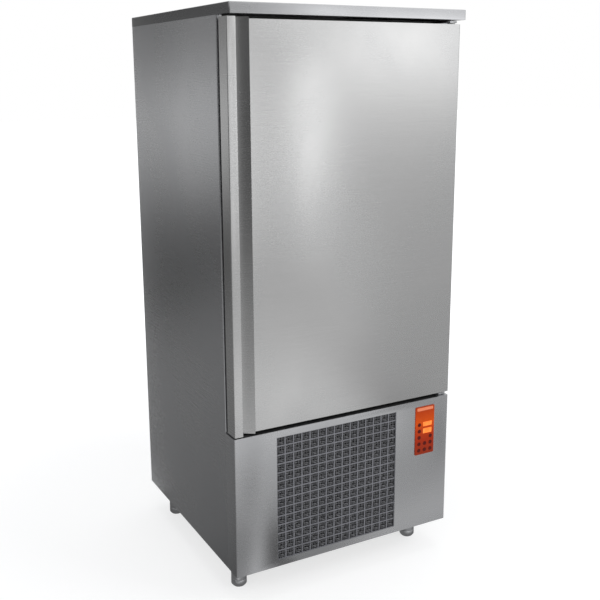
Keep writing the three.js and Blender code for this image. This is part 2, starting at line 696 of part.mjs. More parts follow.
/** A shallow tray turned over, with its front underside folded back over the door. */
function topPanel() {
  const half = HALF - TOP_EDGE;
  const outline = roundedRect(-half, half, TOP_FRONT + TOP_EDGE, BACK - TOP_EDGE, TOP_EDGE);
  const slab = new THREE.ExtrudeGeometry(outline, {
    depth: 2 * (TOP_HEIGHT - TOP_EDGE),
    bevelThickness: TOP_EDGE,
    bevelSize: TOP_EDGE,
    bevelSegments: 2,
    curveSegments: 2,
  });
  slab.translate(0, 0, TOP_BOTTOM - TOP_HEIGHT + TOP_EDGE);
  const below = block(-WIDTH, WIDTH, -DEPTH, DEPTH, TOP_BOTTOM - 2 * TOP_HEIGHT, TOP_BOTTOM);
  const inside = HALF - SHEET;
  const hollow = block(-inside, inside, TOP_FRONT + SHEET, BACK - SHEET, TOP_BOTTOM + SHEET, TOP - SHEET);
  const mouth = block(-inside, inside, BODY_FRONT, BACK - SHEET, TOP_BOTTOM - 1, TOP_BOTTOM + SHEET + 1);
  return cut(slab, below, hollow, mouth);
}

/** A sheet folded into a U in plan, with a fold at its top and bottom and two cut-outs. */
function lowerFrontPanel() {
  const plan = new THREE.Shape();
  const end = BODY_FRONT - CLEAR;
  plan.moveTo(HALF, end);
  plan.lineTo(HALF - SHEET, end);
  plan.lineTo(HALF - SHEET, FRONT + BEND);
  plan.absarc(HALF - BEND, FRONT + BEND, BEND - SHEET, 0, -Math.PI / 2, true);
  plan.lineTo(-HALF + BEND, FRONT + SHEET);
  plan.absarc(-HALF + BEND, FRONT + BEND, BEND - SHEET, -Math.PI / 2, -Math.PI, true);
  plan.lineTo(-HALF + SHEET, end);
  plan.lineTo(-HALF, end);
  plan.lineTo(-HALF, FRONT + BEND);
  plan.absarc(-HALF + BEND, FRONT + BEND, BEND, Math.PI, Math.PI * 1.5);
  plan.lineTo(HALF - BEND, FRONT);
  plan.absarc(HALF - BEND, FRONT + BEND, BEND, -Math.PI / 2, 0);
  plan.closePath();
  const inside = HALF - SHEET / 2;
  const start = FRONT + SHEET / 2;
  const topFold = block(-inside, inside, start, FRONT + LOWER_TOP_FLANGE, LOWER_TOP - SHEET, LOWER_TOP);
  const bottomFold = block(-inside, inside, start, FRONT + LOWER_FLANGE, LOWER_BOTTOM, LOWER_BOTTOM + SHEET);
  const corners = [[-HALF, -HALF + BEND], [HALF - BEND, HALF]].map(([left, right]) => (
    block(left, right, FRONT - 1, FRONT + BEND, LOWER_BOTTOM - 1, LOWER_TOP + 1)));
  const folds = [topFold, bottomFold].map((fold) => cut(fold, ...corners));
  const grille = block(GRILLE_X0, GRILLE_X1, FRONT - 1, FRONT + SHEET + 1, GRILLE_Z0, GRILLE_Z1);
  const opening = roundedRect(CONTROL_X0 + CONTROL_FRAME, CONTROL_X1 - CONTROL_FRAME,
    CONTROL_Z0 + CONTROL_FRAME, CONTROL_Z1 - CONTROL_FRAME, CONTROL_CORNER / 2);
  const control = deepen(opening, FRONT - 1, FRONT + SHEET + 1, 2);
  return cut(join(raise(plan, LOWER_BOTTOM, LOWER_TOP), ...folds), grille, control);
}

function basePan() {
  const side = HALF - SHEET - CLEAR;
  const front = FRONT + SHEET + CLEAR;
  const back = BACK - SHEET - CLEAR;
  const notch = HALF - SIDE_RETURN - CLEAR;
  const notchFront = BODY_FRONT - CLEAR;
  const notchBack = BODY_FRONT + SHEET + CLEAR;
  const half = [[side - BEND, front], [side, front + BEND], [side, notchFront], [notch, notchFront],
    [notch, notchBack], [side - BEND, notchBack], [side, notchBack + BEND],
    [side, back - BEND], [side - BEND, back]];
  const mirrored = half.map(([x, y]) => [-x, y]).reverse();
  const tray = [join(raise(polygon([...half, ...mirrored]), BASE_FLOOR, BASE_TOP))];
  const rim = BASE_FLOOR + BASE_FLANGE;
  for (const x of [side - BASE_THICKNESS, -side]) {
    tray.push(block(x, x + BASE_THICKNESS, notchBack + BEND, back - BEND, BASE_FLOOR, rim));
  }
  tray.push(block(-side + BEND, side - BEND, back - BASE_THICKNESS, back, BASE_FLOOR, rim));
  const holes = [[DRAIN_X, DRAIN_Y, DRAIN_RADIUS], [GLAND_X, GLAND_Y, GLAND_RADIUS]].map(([x, y, radius]) => (
    rod(radius + CLEAR, BASE_FLOOR - 1, BASE_TOP + 1, x, y, 16)));
  return cut(join(...tray), ...holes);
}

/** The inlet of the supply lead: a threaded sleeve with a nut above and a dome below. */
function cableGland() {
  const seat = BASE_FLOOR - CLEAR;
  const tip = seat - GLAND_DOME;
  return turn([
    [GLAND_BORE, tip],
    [GLAND_TIP_RADIUS, tip],
    [GLAND_NUT_RADIUS, tip + GLAND_NUT_HEIGHT],
    [GLAND_NUT_RADIUS, seat],
    [GLAND_RADIUS, seat],
    [GLAND_RADIUS, UNIT_FLOOR],
    [GLAND_NUT_RADIUS, UNIT_FLOOR],
    [GLAND_NUT_RADIUS, UNIT_FLOOR + GLAND_NUT_HEIGHT],
    [GLAND_BORE, UNIT_FLOOR + GLAND_NUT_HEIGHT],
    [GLAND_BORE, tip],
  ], 10, GLAND_X, GLAND_Y);
}

// ---- feet -----------------------------------------------------------------------------

function feet() {
  const group = new THREE.Group();
  const plateTop = BASE_FLOOR - CLEAR;
  const sleeveTop = plateTop - FOOT_PLATE_THICKNESS;
  const threadTop = FOOT_PAD_HEIGHT + FOOT_THREAD_LENGTH;
  const bore = FOOT_THREAD_RADIUS + CLEAR;
  const plateHalf = FOOT_PLATE / 2;
  const tube = turn([
    [0, threadTop + FOOT_THREAD_ROOM],
    [bore, threadTop + FOOT_THREAD_ROOM],
    [bore, FOOT_PAD_HEIGHT + CLEAR],
    [FOOT_RADIUS, FOOT_PAD_HEIGHT + CLEAR],
    [FOOT_RADIUS, sleeveTop + 1],
    [0, sleeveTop + 1],
  ], 12);
  const sleeve = join(tube, block(-plateHalf, plateHalf, -plateHalf, plateHalf, sleeveTop, plateTop));
  const adjuster = turn([
    [0, 0],
    [FOOT_TIP_RADIUS, 0],
    [FOOT_RADIUS, FOOT_TAPER],
    [FOOT_RADIUS, FOOT_PAD_HEIGHT],
    [FOOT_THREAD_RADIUS, FOOT_PAD_HEIGHT],
    [FOOT_THREAD_RADIUS, threadTop],
    [0, threadTop],
  ], 12);
  for (const [place, x, y] of FOOT_PLACES) {
    group.add(piece(`foot_sleeve_${place}`, sleeve, 'steel', [x, y, 0]));
    group.add(piece(`foot_adjuster_${place}`, adjuster, 'steel', [x, y, 0]));
  }
  return group;
}

// ---- insulated cell -------------------------------------------------------------------

function cell() {
  const group = new THREE.Group();
  group.add(piece('insulation_body', insulationBody(), 'foam'));
  group.add(piece('chamber_liner', chamberLiner(), 'innerSteel'));
  group.add(piece('mouth_frame', mouthFrame(), 'blackPlastic'));
  group.add(piece('chamber_drain', chamberDrain(), 'plastic'));
  group.add(piece('tray_rack_left', trayRack(), 'innerSteel'));
  group.add(piece('tray_rack_right', flipped(toGeometry(trayRack())), 'innerSteel'));
  return group;
}

/** The mouth's outline, grown outwards, or shrunk with round corners of its own. */
function mouthOutline(grow, corner = CHAMBER_CORNER + grow, Kind = THREE.Shape) {
  const [left, right] = [-CHAMBER_HALF - grow, CHAMBER_HALF + grow];
  return roundedRect(left, right, CHAMBER_FLOOR - grow, CHAMBER_CEILING + grow, corner, Kind);
}

function insulationBody() {
  const side = HALF - SHEET - CLEAR;
  const front = FRAME_BACK + CLEAR;
  const back = BACK - SHEET - CLEAR;
  const corners = [[side - BEND, front], [side, front + BEND], [side, back - BEND], [side - BEND, back]];
  const plan = polygon([...corners, ...corners.map(([x, y]) => [-x, y]).reverse()]);
  const cavity = deepen(mouthOutline(SHEET + CLEAR), front - 1, CHAMBER_BACK + SHEET + CLEAR);
  const drain = rod(DRAIN_RADIUS + CLEAR, CELL_BOTTOM - 1, CHAMBER_FLOOR, DRAIN_X, DRAIN_Y, 12);
  const lagging = SUCTION_RADIUS + SUCTION_LAGGING;
  const suction = rod(lagging, CELL_BOTTOM - 1, CHAMBER_FLOOR, SUCTION_X, SUCTION_Y, 12);
  return cut(raise(plan, CELL_BOTTOM, CELL_TOP), cavity, drain, suction);
}

function chamberLiner() {
  const front = FRAME_BACK + CLEAR;
  const outside = deepen(mouthOutline(SHEET), front, CHAMBER_BACK + SHEET);
  const inside = deepen(mouthOutline(0), front - 1, CHAMBER_BACK);
  const [low, high] = [CHAMBER_FLOOR - SHEET - 1, CHAMBER_FLOOR + 1];
  const drain = rod(DRAIN_RADIUS + CLEAR, low, high, DRAIN_X, DRAIN_Y, 12);
  const suction = rod(SUCTION_RADIUS + SUCTION_LAGGING, low, high, SUCTION_X, SUCTION_Y, 12);
  return cut(outside, inside, drain, suction);
}

/** The frame round the mouth, on which the door gasket closes. */
function mouthFrame() {
  const half = HALF - SIDE_RETURN - CLEAR;
  const frame = rectangle(-half, half, CELL_BOTTOM, CELL_TOP);
  frame.holes.push(mouthOutline(0, CHAMBER_CORNER, THREE.Path));
  return deepen(frame, BODY_FRONT, FRAME_BACK);
}

function chamberDrain() {
  const bore = DRAIN_RADIUS - DRAIN_WALL;
  return turn([
    [bore, DRAIN_END],
    [DRAIN_RADIUS, DRAIN_END],
    [DRAIN_RADIUS, CHAMBER_FLOOR + CLEAR],
    [DRAIN_FLANGE, CHAMBER_FLOOR + CLEAR],
    [DRAIN_FLANGE, CHAMBER_FLOOR + CLEAR + DRAIN_WALL],
    [bore, CHAMBER_FLOOR + CLEAR + DRAIN_WALL],
    [bore, DRAIN_END],
  ], 12, DRAIN_X, DRAIN_Y);
}

/** Two posts against the liner, and a runner for each tray level. */
function trayRack() {
  const wall = -CHAMBER_HALF + CLEAR;
  const runnerEdge = -CHAMBER_HALF + RUNNER_REACH;
  const front = BODY_FRONT + RACK_START;
  const back = COVER_FACE - RACK_TO_COVER;
  const [low, high] = [CHAMBER_FLOOR + CHAMBER_CORNER, CHAMBER_CEILING - CHAMBER_CORNER];
  const parts = [front + POST_INSET, back - POST_INSET - POST_WIDTH].map((y) => (
    block(wall, wall + POST_WIDTH, y, y + POST_WIDTH, low, high)));
  for (let level = 0; level < RACK_LEVELS; level += 1) {
    const z = CHAMBER_MIDDLE + (level - (RACK_LEVELS - 1) / 2) * RACK_PITCH;
    const inPost = wall + POST_WIDTH / 2;
    parts.push(block(inPost, runnerEdge, front, back, z - RUNNER_THICKNESS / 2, z + RUNNER_THICKNESS / 2));
  }
  return join(...parts);
}

// ---- evaporator -----------------------------------------------------------------------

function evaporator() {
  const group = new THREE.Group();
  const low = CHAMBER_FLOOR + EVAPORATOR_END_MARGIN;
  const high = CHAMBER_CEILING - EVAPORATOR_END_MARGIN;
  const front = ROTOR_BACK + ROTOR_TO_COIL;
  group.add(piece('evaporator_coil', finnedCoil({
    left: -EVAPORATOR_HALF,
    right: EVAPORATOR_HALF,
    front,
    back: front + EVAPORATOR_DEPTH,
    low,
    high,
    fins: EVAPORATOR_FINS,
    bends: EVAPORATOR_BENDS,
    bendSide: 1,
    plateLow: low - END_PLATE_MARGIN,
    plateBack: CHAMBER_BACK - CLEAR,
  }), 'aluminium'));
  group.add(piece('evaporator_fan_cover', fanCover(), 'innerSteel'));
  const shaft = EVAPORATOR_SHAFT_RADIUS;
  const shaftLength = EVAPORATOR_HUB_LENGTH / 2;
  const motorShape = motor(EVAPORATOR_MOTOR_RADIUS, EVAPORATOR_MOTOR_LENGTH, shaft, shaftLength);
  const rotorShape = rotor({
    hub: EVAPORATOR_HUB_RADIUS,
    length: EVAPORATOR_HUB_LENGTH,
    bore: shaft + CLEAR,
    boreDepth: shaftLength,
    tip: EVAPORATOR_FAN_RADIUS,
    ...EVAPORATOR_BLADE,
  });
  const rotorMiddle = (ROTOR_FRONT + ROTOR_BACK) / 2;
  for (let i = 0; i < EVAPORATOR_FANS; i += 1) {
    const z = fanHeight(i);
    group.add(piece(`evaporator_fan_motor_${i + 1}`, motorShape, 'blackPaint', [0, COVER_BACK + CLEAR, z]));
    group.add(piece(`evaporator_fan_${i + 1}`, rotorShape, 'blackPlastic', [0, rotorMiddle, z]));
  }
  return group;
}

/** Axis height of an evaporator fan, counted from the bottom. */
function fanHeight(i) {
  const span = (CHAMBER_CEILING - CHAMBER_FLOOR - 2 * FAN_COVER_END_GAP) / EVAPORATOR_FANS;
  return CHAMBER_FLOOR + FAN_COVER_END_GAP + span * (i + 0.5);
}

/** A hat-shaped cover over fans and coil, open at its top and bottom. */
function fanCover() {
  const half = COVER_HALF;
  const low = CHAMBER_FLOOR + FAN_COVER_END_GAP;
  const high = CHAMBER_CEILING - FAN_COVER_END_GAP;
  const disc = EVAPORATOR_MOTOR_RADIUS + EVAPORATOR_MOTOR_SEAT;
  const openings = [];
  const radius = EVAPORATOR_OPENING_RADIUS;
  for (let i = 0; i < EVAPORATOR_FANS; i += 1) {
    openings.push(...spiderOpenings(0, fanHeight(i), disc, radius, EVAPORATOR_SPIDER_ARM, 4));
  }
  const face = cut(block(-half, half, COVER_FACE, COVER_BACK, low, high),
    ...openings.map((opening) => deepen(opening, COVER_FACE - 1, COVER_BACK + 1)));
  const back = CHAMBER_BACK - CLEAR;
  const right = join(block(half - SHEET, half, COVER_FACE, back, low, high),
    block(half - SHEET, half + FAN_COVER_FOOT, back - SHEET, back, low, high));
  return join(face, right, flipped(toGeometry(right)));
}

// ---- condensing unit ------------------------------------------------------------------

function condensingUnit() {
  const group = new THREE.Group();
  const middleX = (GRILLE_X0 + GRILLE_X1) / 2;
  const middleZ = (GRILLE_Z0 + GRILLE_Z1) / 2;
  group.add(piece('condenser_grille', condenserGrille(), 'grille'));
  group.add(piece('condenser_coil', finnedCoil({
    left: CONDENSER_LEFT,
    right: CONDENSER_RIGHT,
    front: CONDENSER_FRONT,
    back: CONDENSER_FRONT + CONDENSER_DEPTH,
    low: CONDENSER_LOW,
    high: CONDENSER_HIGH,
    fins: CONDENSER_FINS,
    bends: CONDENSER_BENDS,
    bendSide: -1,
    plateLow: UNIT_FLOOR,
    plateBack: CONDENSER_FRONT + CONDENSER_DEPTH + END_PLATE_MARGIN,
  }), 'aluminium'));
  const plateFront = CONDENSER_FRONT + CONDENSER_DEPTH + END_PLATE_MARGIN + CLEAR;
  group.add(piece('condenser_fan_shroud', fanShroud(middleX, middleZ, plateFront), 'galvanised'));
  const shaft = CONDENSER_SHAFT_RADIUS;
  const ringBack = plateFront + SHROUD_RING;
  const hubGap = 2 * CLEAR;
  const rotorBack = ringBack - SHROUD_ARM_THICKNESS - hubGap;
  const shaftLength = SHROUD_ARM_THICKNESS + hubGap + CLEAR + CONDENSER_HUB_LENGTH / 2;
  const motorShape = motor(CONDENSER_MOTOR_RADIUS, CONDENSER_MOTOR_LENGTH, shaft, shaftLength);
  motorShape.rotateZ(Math.PI);
  const motorPlace = [middleX, ringBack + CLEAR + CONDENSER_MOTOR_LENGTH, middleZ];
  group.add(piece('condenser_fan_motor', motorShape, 'blackPaint', motorPlace));
  const rotorShape = rotor({
    hub: CONDENSER_HUB_RADIUS,
    length: CONDENSER_HUB_LENGTH,
    bore: shaft + CLEAR,
    boreDepth: CONDENSER_HUB_LENGTH / 2 + CLEAR,
    tip: CONDENSER_FAN_RADIUS,
    ...CONDENSER_BLADE,
  }).rotateZ(Math.PI);
  const rotorPlace = [middleX, rotorBack - CONDENSER_HUB_LENGTH / 2, middleZ];
  group.add(piece('condenser_fan', rotorShape, 'aluminium', rotorPlace));
  group.add(piece('compressor', compressor(), 'blackPaint', [COMPRESSOR_X, COMPRESSOR_Y, UNIT_FLOOR]));
  const receiverPlace = [-HALF + RECEIVER_LEFT, BACK - RECEIVER_BACK, UNIT_FLOOR];
  group.add(piece('liquid_receiver', receiver(), 'blackPaint', receiverPlace));
  group.add(piece('suction_pipe', suctionPipe(), 'copper'));
  group.add(piece('discharge_pipe', dischargePipe(), 'copper'));
  return group;
}

/** A punched sheet of square windows, seated behind the cut-out in the lower panel. */
function condenserGrille() {
  const front = FRONT + SHEET + CLEAR;
  const sheet = block(GRILLE_X0 - GRILLE_BORDER, GRILLE_X1 + GRILLE_BORDER, front, front + SHEET,
    GRILLE_Z0 - GRILLE_BORDER, GRILLE_Z1 + GRILLE_BORDER);
  const windows = [];
  const pitchX = (GRILLE_X1 - GRILLE_X0) / GRILLE_COLUMNS;
  const pitchZ = (GRILLE_Z1 - GRILLE_Z0) / GRILLE_ROWS;
  for (let column = 0; column < GRILLE_COLUMNS; column += 1) {
    for (let row = 0; row < GRILLE_ROWS; row += 1) {
      const x = GRILLE_X0 + pitchX * column + GRILLE_BAR / 2;
      const z = GRILLE_Z0 + pitchZ * row + GRILLE_BAR / 2;
      const [right, high] = [x + pitchX - GRILLE_BAR, z + pitchZ - GRILLE_BAR];
      windows.push(block(x, right, front - 1, front + SHEET + 1, z, high));
    }
  }
  return cut(sheet, ...windows);
}

function fanShroud(x, z, front) {
  const radius = CONDENSER_FAN_RADIUS + FAN_TIP_CLEARANCE;
  const left = CONDENSER_LEFT - END_PLATE;
  const right = CONDENSER_RIGHT + END_PLATE;
  const plate = rectangle(left, right, UNIT_FLOOR, CONDENSER_HIGH + END_PLATE_MARGIN);
  const ring = new THREE.Shape();
  const opening = new THREE.Path();
  const inner = new THREE.Path();
  ring.absarc(x, z, radius + SHROUD_THICKNESS, 0, 2 * Math.PI);
  opening.absarc(x, z, radius, 0, 2 * Math.PI);
  inner.absarc(x, z, radius, 0, 2 * Math.PI);
  plate.holes.push(opening);
  ring.holes.push(inner);
  const back = front + SHROUD_RING;
  const disc = new THREE.Shape();
  disc.absarc(x, z, radius + SHROUD_THICKNESS / 2, 0, 2 * Math.PI);
  const spiderFront = back - SHROUD_ARM_THICKNESS;
  const openings = spiderOpenings(x, z, SHROUD_DISC, radius, SHROUD_ARM, 5)
    .map((opening) => deepen(opening, spiderFront - 1, back + 1));
  const shaftHole = rodDeep(SHAFT_HOLE, spiderFront - 1, back + 1, x, z, 12);
  const spider = cut(deepen(disc, spiderFront, back, 10), shaftHole, ...openings);
  return join(deepen(plate, front, front + SHROUD_THICKNESS, 10), deepen(ring, front, back, 10), spider);
}

/** A hermetic compressor: welded shell, mounting plate on four rubber feet, terminal box. */
function compressor() {
  const r = COMPRESSOR_RADIUS;
  const low = COMPRESSOR_FOOT;
  const h = COMPRESSOR_HEIGHT;
  const shell = turn([
    [0, low],
    [r * 0.72, low],
    [r * 0.94, low + h * 0.07],
    [r, low + h * 0.17],
    [r, low + h * 0.62],
    [r * 1.04, low + h * 0.62],
    [r * 1.04, low + h * 0.65],
    [r * 0.98, low + h * 0.65],
    [r * 0.85, low + h * 0.9],
    [r * 0.45, low + h],
    [0, low + h],
  ], 16);
  const plateHalf = r * 0.98;
  const plate = block(-plateHalf, plateHalf, -plateHalf, plateHalf, low, low + COMPRESSOR_PLATE);
  const spread = plateHalf - COMPRESSOR_RUBBER_INSET;
  const rubber = [];
  for (const x of [-spread, spread]) {
    for (const y of [-spread, spread]) {
      rubber.push(rod(COMPRESSOR_RUBBER_RADIUS, 0, low + 1, x, y, 10));
    }
  }
  const box = block(-r * 0.4, r * 0.4, r * 0.85, r * 1.28, low + h * 0.3, low + h * 0.58);
  return join(shell, plate, ...rubber, box);
}

/** An upright receiver on a ring foot. */
function receiver() {
  const r = RECEIVER_RADIUS;
  const h = RECEIVER_HEIGHT;
  const shoulder = RECEIVER_SHOULDER;
  return turn([
    [0, RECEIVER_FOOT],
    [r * 0.7, RECEIVER_FOOT],
    [r * 0.7, 0],
    [r * 0.8, 0],
    [r * 0.95, shoulder / 2],
    [r, shoulder],
    [r, h - shoulder],
    [r * 0.85, h - shoulder * 0.4],
    [r * 0.4, h],
    [0, h],
  ], 12);
}

/** From the compressor up through the cell's floor and along the evaporator's end plate. */
function suctionPipe() {
  const rise = CELL_BOTTOM - PORT_HEIGHT;
  const x = COMPRESSOR_X + PORT_OFFSET;
  return pipe([
    [x, COMPRESSOR_Y, PORT_HEIGHT],
    [x, COMPRESSOR_Y, PORT_HEIGHT + rise / 4],
    [(x + SUCTION_X) / 2, (COMPRESSOR_Y + SUCTION_Y) / 2, PORT_HEIGHT + rise / 2],
    [SUCTION_X, SUCTION_Y, PORT_HEIGHT + (rise * 3) / 4],
    [SUCTION_X, SUCTION_Y, CELL_BOTTOM],
    [SUCTION_X, SUCTION_Y, CHAMBER_FLOOR],
    [SUCTION_X, SUCTION_Y, CHAMBER_FLOOR + EVAPORATOR_END_MARGIN + SUCTION_INTO_COIL],
  ], SUCTION_RADIUS, 8, 18);
}

/** From the compressor forwards to the condenser's end plate. */
function dischargePipe() {
  const level = PORT_HEIGHT + (CELL_BOTTOM - PORT_HEIGHT) / 2;
  const x = COMPRESSOR_X - PORT_OFFSET;
  const beside = CONDENSER_RIGHT + END_PLATE + CLEAR + DISCHARGE_RADIUS;
  const end = CONDENSER_FRONT + CONDENSER_DEPTH / 2;
  return pipe([
    [x, COMPRESSOR_Y, PORT_HEIGHT],
    [x, COMPRESSOR_Y, (PORT_HEIGHT + level) / 2],
    [(x + beside) / 2, COMPRESSOR_Y + (end - COMPRESSOR_Y) / 4, level],
    [beside, COMPRESSOR_Y + (end - COMPRESSOR_Y) / 2, level],
    [beside, end + CONDENSER_DEPTH, level],
    [beside, end, level],
  ], DISCHARGE_RADIUS, 6, 18);
}

// ---- control panel --------------------------------------------------------------------

function control() {
  const group = new THREE.Group();
  group.add(piece('control_panel', overlay(), 'orange'));
  group.add(piece('control_housing', housing(), 'plastic'));
  group.add(piece('display_lens', displayLens(), 'display'));
  const flangeFront = OVERLAY_BACK + CLEAR;
  const keyBack = FRONT + HOUSING_FLOOR - CLEAR - KEY_TRAVEL;
  const cap = OVERLAY_FRONT - KEY_PROUD;
  const keyShape = turnDeep([
    [0, cap],
    [KEY_RADIUS, cap],
    [KEY_RADIUS, flangeFront],
    [KEY_RADIUS + KEY_FLANGE, flangeFront],
    [KEY_RADIUS + KEY_FLANGE, keyBack],
    [0, keyBack],
  ], 8, 0, 0);
  for (const { name, x, z } of keyPlaces()) {
    group.add(piece(name, keyShape, 'key', [x, 0, z]));
  }
  return group;
}

function keyPlaces() {
  return KEY_ROWS.flatMap((rows, column) => rows.map((row) => ({
    name: `key_column${column + 1}_row${row + 1}`,
    x: CONTROL_X0 + KEY_FIRST_COLUMN + KEY_COLUMN_PITCH * column,
    z: CONTROL_Z0 + KEY_FIRST_ROW - KEY_ROW_PITCH * row,
  })));
}

function overlay() {
  const plate = roundedRect(CONTROL_X0, CONTROL_X1, CONTROL_Z0, CONTROL_Z1, CONTROL_CORNER);
  for (const { x, z } of keyPlaces()) {
    const hole = new THREE.Path();
    hole.absarc(x, z, KEY_RADIUS + CLEAR, 0, 2 * Math.PI);
    plate.holes.push(hole);
  }
  for (const { up, height } of DISPLAYS) {
    const left = CONTROL_X0 + DISPLAY_LEFT;
    const low = CONTROL_Z0 + up - height / 2;
    plate.holes.push(rectangle(left, left + DISPLAY_WIDTH, low, low + height, THREE.Path));
  }
  return deepen(plate, OVERLAY_FRONT, OVERLAY_BACK, 4);
}

function displayLens() {
  const left = CONTROL_X0 + DISPLAY_LEFT;
  const right = left + DISPLAY_WIDTH;
  const [upper, lower] = DISPLAYS;
  const low = CONTROL_Z0 + lower.up - lower.height / 2 - LENS_MARGIN;
  const high = CONTROL_Z0 + upper.up + upper.height / 2 + LENS_MARGIN;
  const back = OVERLAY_BACK + CLEAR;
  const plate = block(left - LENS_MARGIN, right + LENS_MARGIN, back, back + LENS_THICKNESS, low, high);
  const windows = DISPLAYS.map(({ up, height }) => {
    const z = CONTROL_Z0 + up;
    const half = height / 2 - CLEAR;
    return block(left + CLEAR, right - CLEAR, OVERLAY_FRONT + CLEAR, back + 1, z - half, z + half);
  });
  return join(plate, ...windows);
}

/** A box behind the cut-out, its rim on the back of the sheet and its board as the floor. */
function housing() {
  const front = FRONT + SHEET + CLEAR;
  const grow = HOUSING_WALL - CONTROL_FRAME;
  const box = block(CONTROL_X0 - grow, CONTROL_X1 + grow, front, front + HOUSING_DEPTH,
    CONTROL_Z0 - grow, CONTROL_Z1 + grow);
  const [left, right] = [CONTROL_X0 + CONTROL_FRAME, CONTROL_X1 - CONTROL_FRAME];
  const [low, high] = [CONTROL_Z0 + CONTROL_FRAME, CONTROL_Z1 - CONTROL_FRAME];
  const pocket = block(left, right, front - 1, FRONT + HOUSING_FLOOR, low, high);
  return cut(box, pocket);
}

// ---- door -----------------------------------------------------------------------------

function door() {
  const group = new THREE.Group();
  group.add(piece('door_skin', doorSkin(), 'steel'));
  group.add(piece('door_handle', doorHandle(), 'steel'));
  group.add(piece('door_insulation', doorInsulation(), 'foam'));
  group.add(piece('door_liner', doorLiner(), 'innerSteel'));
  group.add(piece('door_gasket', doorGasket(), 'blackRubber'));
  group.add(piece('hinge_bush_bottom', bush(BOTTOM_BRACKET_TOP, DOOR_BOTTOM, 1), 'plastic'));
  group.add(piece('hinge_bush_top', bush(TOP_BRACKET_BOTTOM, DOOR_TOP, -1), 'plastic'));
  return group;
}

/** The underside of the channel, offset behind its face: from its left end to the door's face. */
function channelUnderside(offset) {
  const floor = CHANNEL_FLOOR + offset;
  const faceEnd = FRONT + (offset * SLOPE_LENGTH) / SLOPE_RUN;
  const corner = CHANNEL_RIGHT - ((floor - faceEnd) * SLOPE_RUN) / CHANNEL_DEPTH;
  return { floor, faceEnd, corner };
}

/** The folded strip at the door's free edge: side wall, lip, finger channel and its slope. */
function doorHandle() {
  const left = -HALF;
  const inner = left + HANDLE_WALL;
  const lipFront = FRONT - LIP_PROUD;
  const lipBack = lipFront + HANDLE_WALL;
  const nose = left + LIP_WIDTH - HANDLE_WALL / 2;
  const under = channelUnderside(HANDLE_WALL);
  const plan = new THREE.Shape();
  plan.moveTo(left, DOOR_BACK);
  plan.lineTo(inner, DOOR_BACK);
  plan.lineTo(inner, under.floor);
  plan.lineTo(under.corner, under.floor);
  plan.lineTo(CHANNEL_RIGHT, under.faceEnd);
  plan.lineTo(CHANNEL_RIGHT, FRONT);
  plan.lineTo(CHANNEL_CORNER, CHANNEL_FLOOR);
  plan.lineTo(inner, CHANNEL_FLOOR);
  plan.lineTo(inner, lipBack);
  plan.lineTo(nose, lipBack);
  plan.absarc(nose, (lipFront + lipBack) / 2, HANDLE_WALL / 2, Math.PI / 2, -Math.PI / 2, true);
  plan.lineTo(left + LIP_BEND, lipFront);
  plan.absarc(left + LIP_BEND, lipFront + LIP_BEND, LIP_BEND, -Math.PI / 2, -Math.PI, true);
  plan.closePath();
  return raise(plan, DOOR_BOTTOM - LIP_DROP, DOOR_TOP + LIP_RISE, 4);
}

/** Plan of what lies behind the handle's channel, from a depth behind the face to another. */
function doorFilling(front, back, right) {
  const under = channelUnderside(HANDLE_WALL + CLEAR);
  const left = -HALF + HANDLE_WALL + CLEAR;
  const start = CHANNEL_RIGHT + CLEAR;
  return polygon([[left, back], [left, under.floor], [under.corner, under.floor],
    [start, Math.max(under.faceEnd, front)], [start, front], [right, front], [right, back]]);
}

function doorSkin() {
  const left = CHANNEL_RIGHT + CLEAR;
  const sheet = new THREE.Shape();
  sheet.moveTo(left, FRONT);
  sheet.lineTo(HALF - BEND, FRONT);
  sheet.absarc(HALF - BEND, FRONT + BEND, BEND, -Math.PI / 2, 0);
  sheet.lineTo(HALF, DOOR_BACK);
  sheet.lineTo(HALF - SHEET, DOOR_BACK);
  sheet.lineTo(HALF - SHEET, FRONT + BEND);
  sheet.absarc(HALF - BEND, FRONT + BEND, BEND - SHEET, 0, -Math.PI / 2, true);
  sheet.lineTo(left, FRONT + SHEET);
  sheet.closePath();
  const fold = doorFilling(FRONT + SHEET / 2, DOOR_BACK, HALF - SHEET / 2);
  const corner = block(HALF - BEND + 1, HALF + 1, FRONT - 1, FRONT + BEND - 1, DOOR_BOTTOM - 1, DOOR_TOP + 1);
  const folds = [[DOOR_BOTTOM, DOOR_BOTTOM + SHEET], [DOOR_TOP - SHEET, DOOR_TOP]].map(([low, high]) => (
    cut(raise(fold, low, high), corner)));
  const lower = rod(BUSH_RADIUS + CLEAR, DOOR_BOTTOM - 1, DOOR_BOTTOM + SHEET + 1, PIVOT_X, PIVOT_Y, 12);
  const upper = rod(BUSH_RADIUS + CLEAR, DOOR_TOP - SHEET - 1, DOOR_TOP + 1, PIVOT_X, PIVOT_Y, 12);
  return cut(join(raise(sheet, DOOR_BOTTOM, DOOR_TOP), ...folds), lower, upper);
}

function doorInsulation() {
  const low = DOOR_BOTTOM + SHEET + CLEAR;
  const high = DOOR_TOP - SHEET - CLEAR;
  const side = HALF - SHEET - CLEAR;
  const front = FRONT + SHEET + CLEAR;
  const back = DOOR_BACK - SHEET - CLEAR;
  const core = raise(doorFilling(front, back, side), low, high);
  const corner = block(side - BEND / 2, side + 1, front - 1, front + BEND / 2, low - 1, high + 1);
  const pocket = BUSH_LENGTH + BUSH_ROOM;
  const lower = rod(BUSH_RADIUS + CLEAR, low - 1, DOOR_BOTTOM + pocket, PIVOT_X, PIVOT_Y, 12);
  const upper = rod(BUSH_RADIUS + CLEAR, DOOR_TOP - pocket, high + 1, PIVOT_X, PIVOT_Y, 12);
  return cut(core, corner, lower, upper);
}

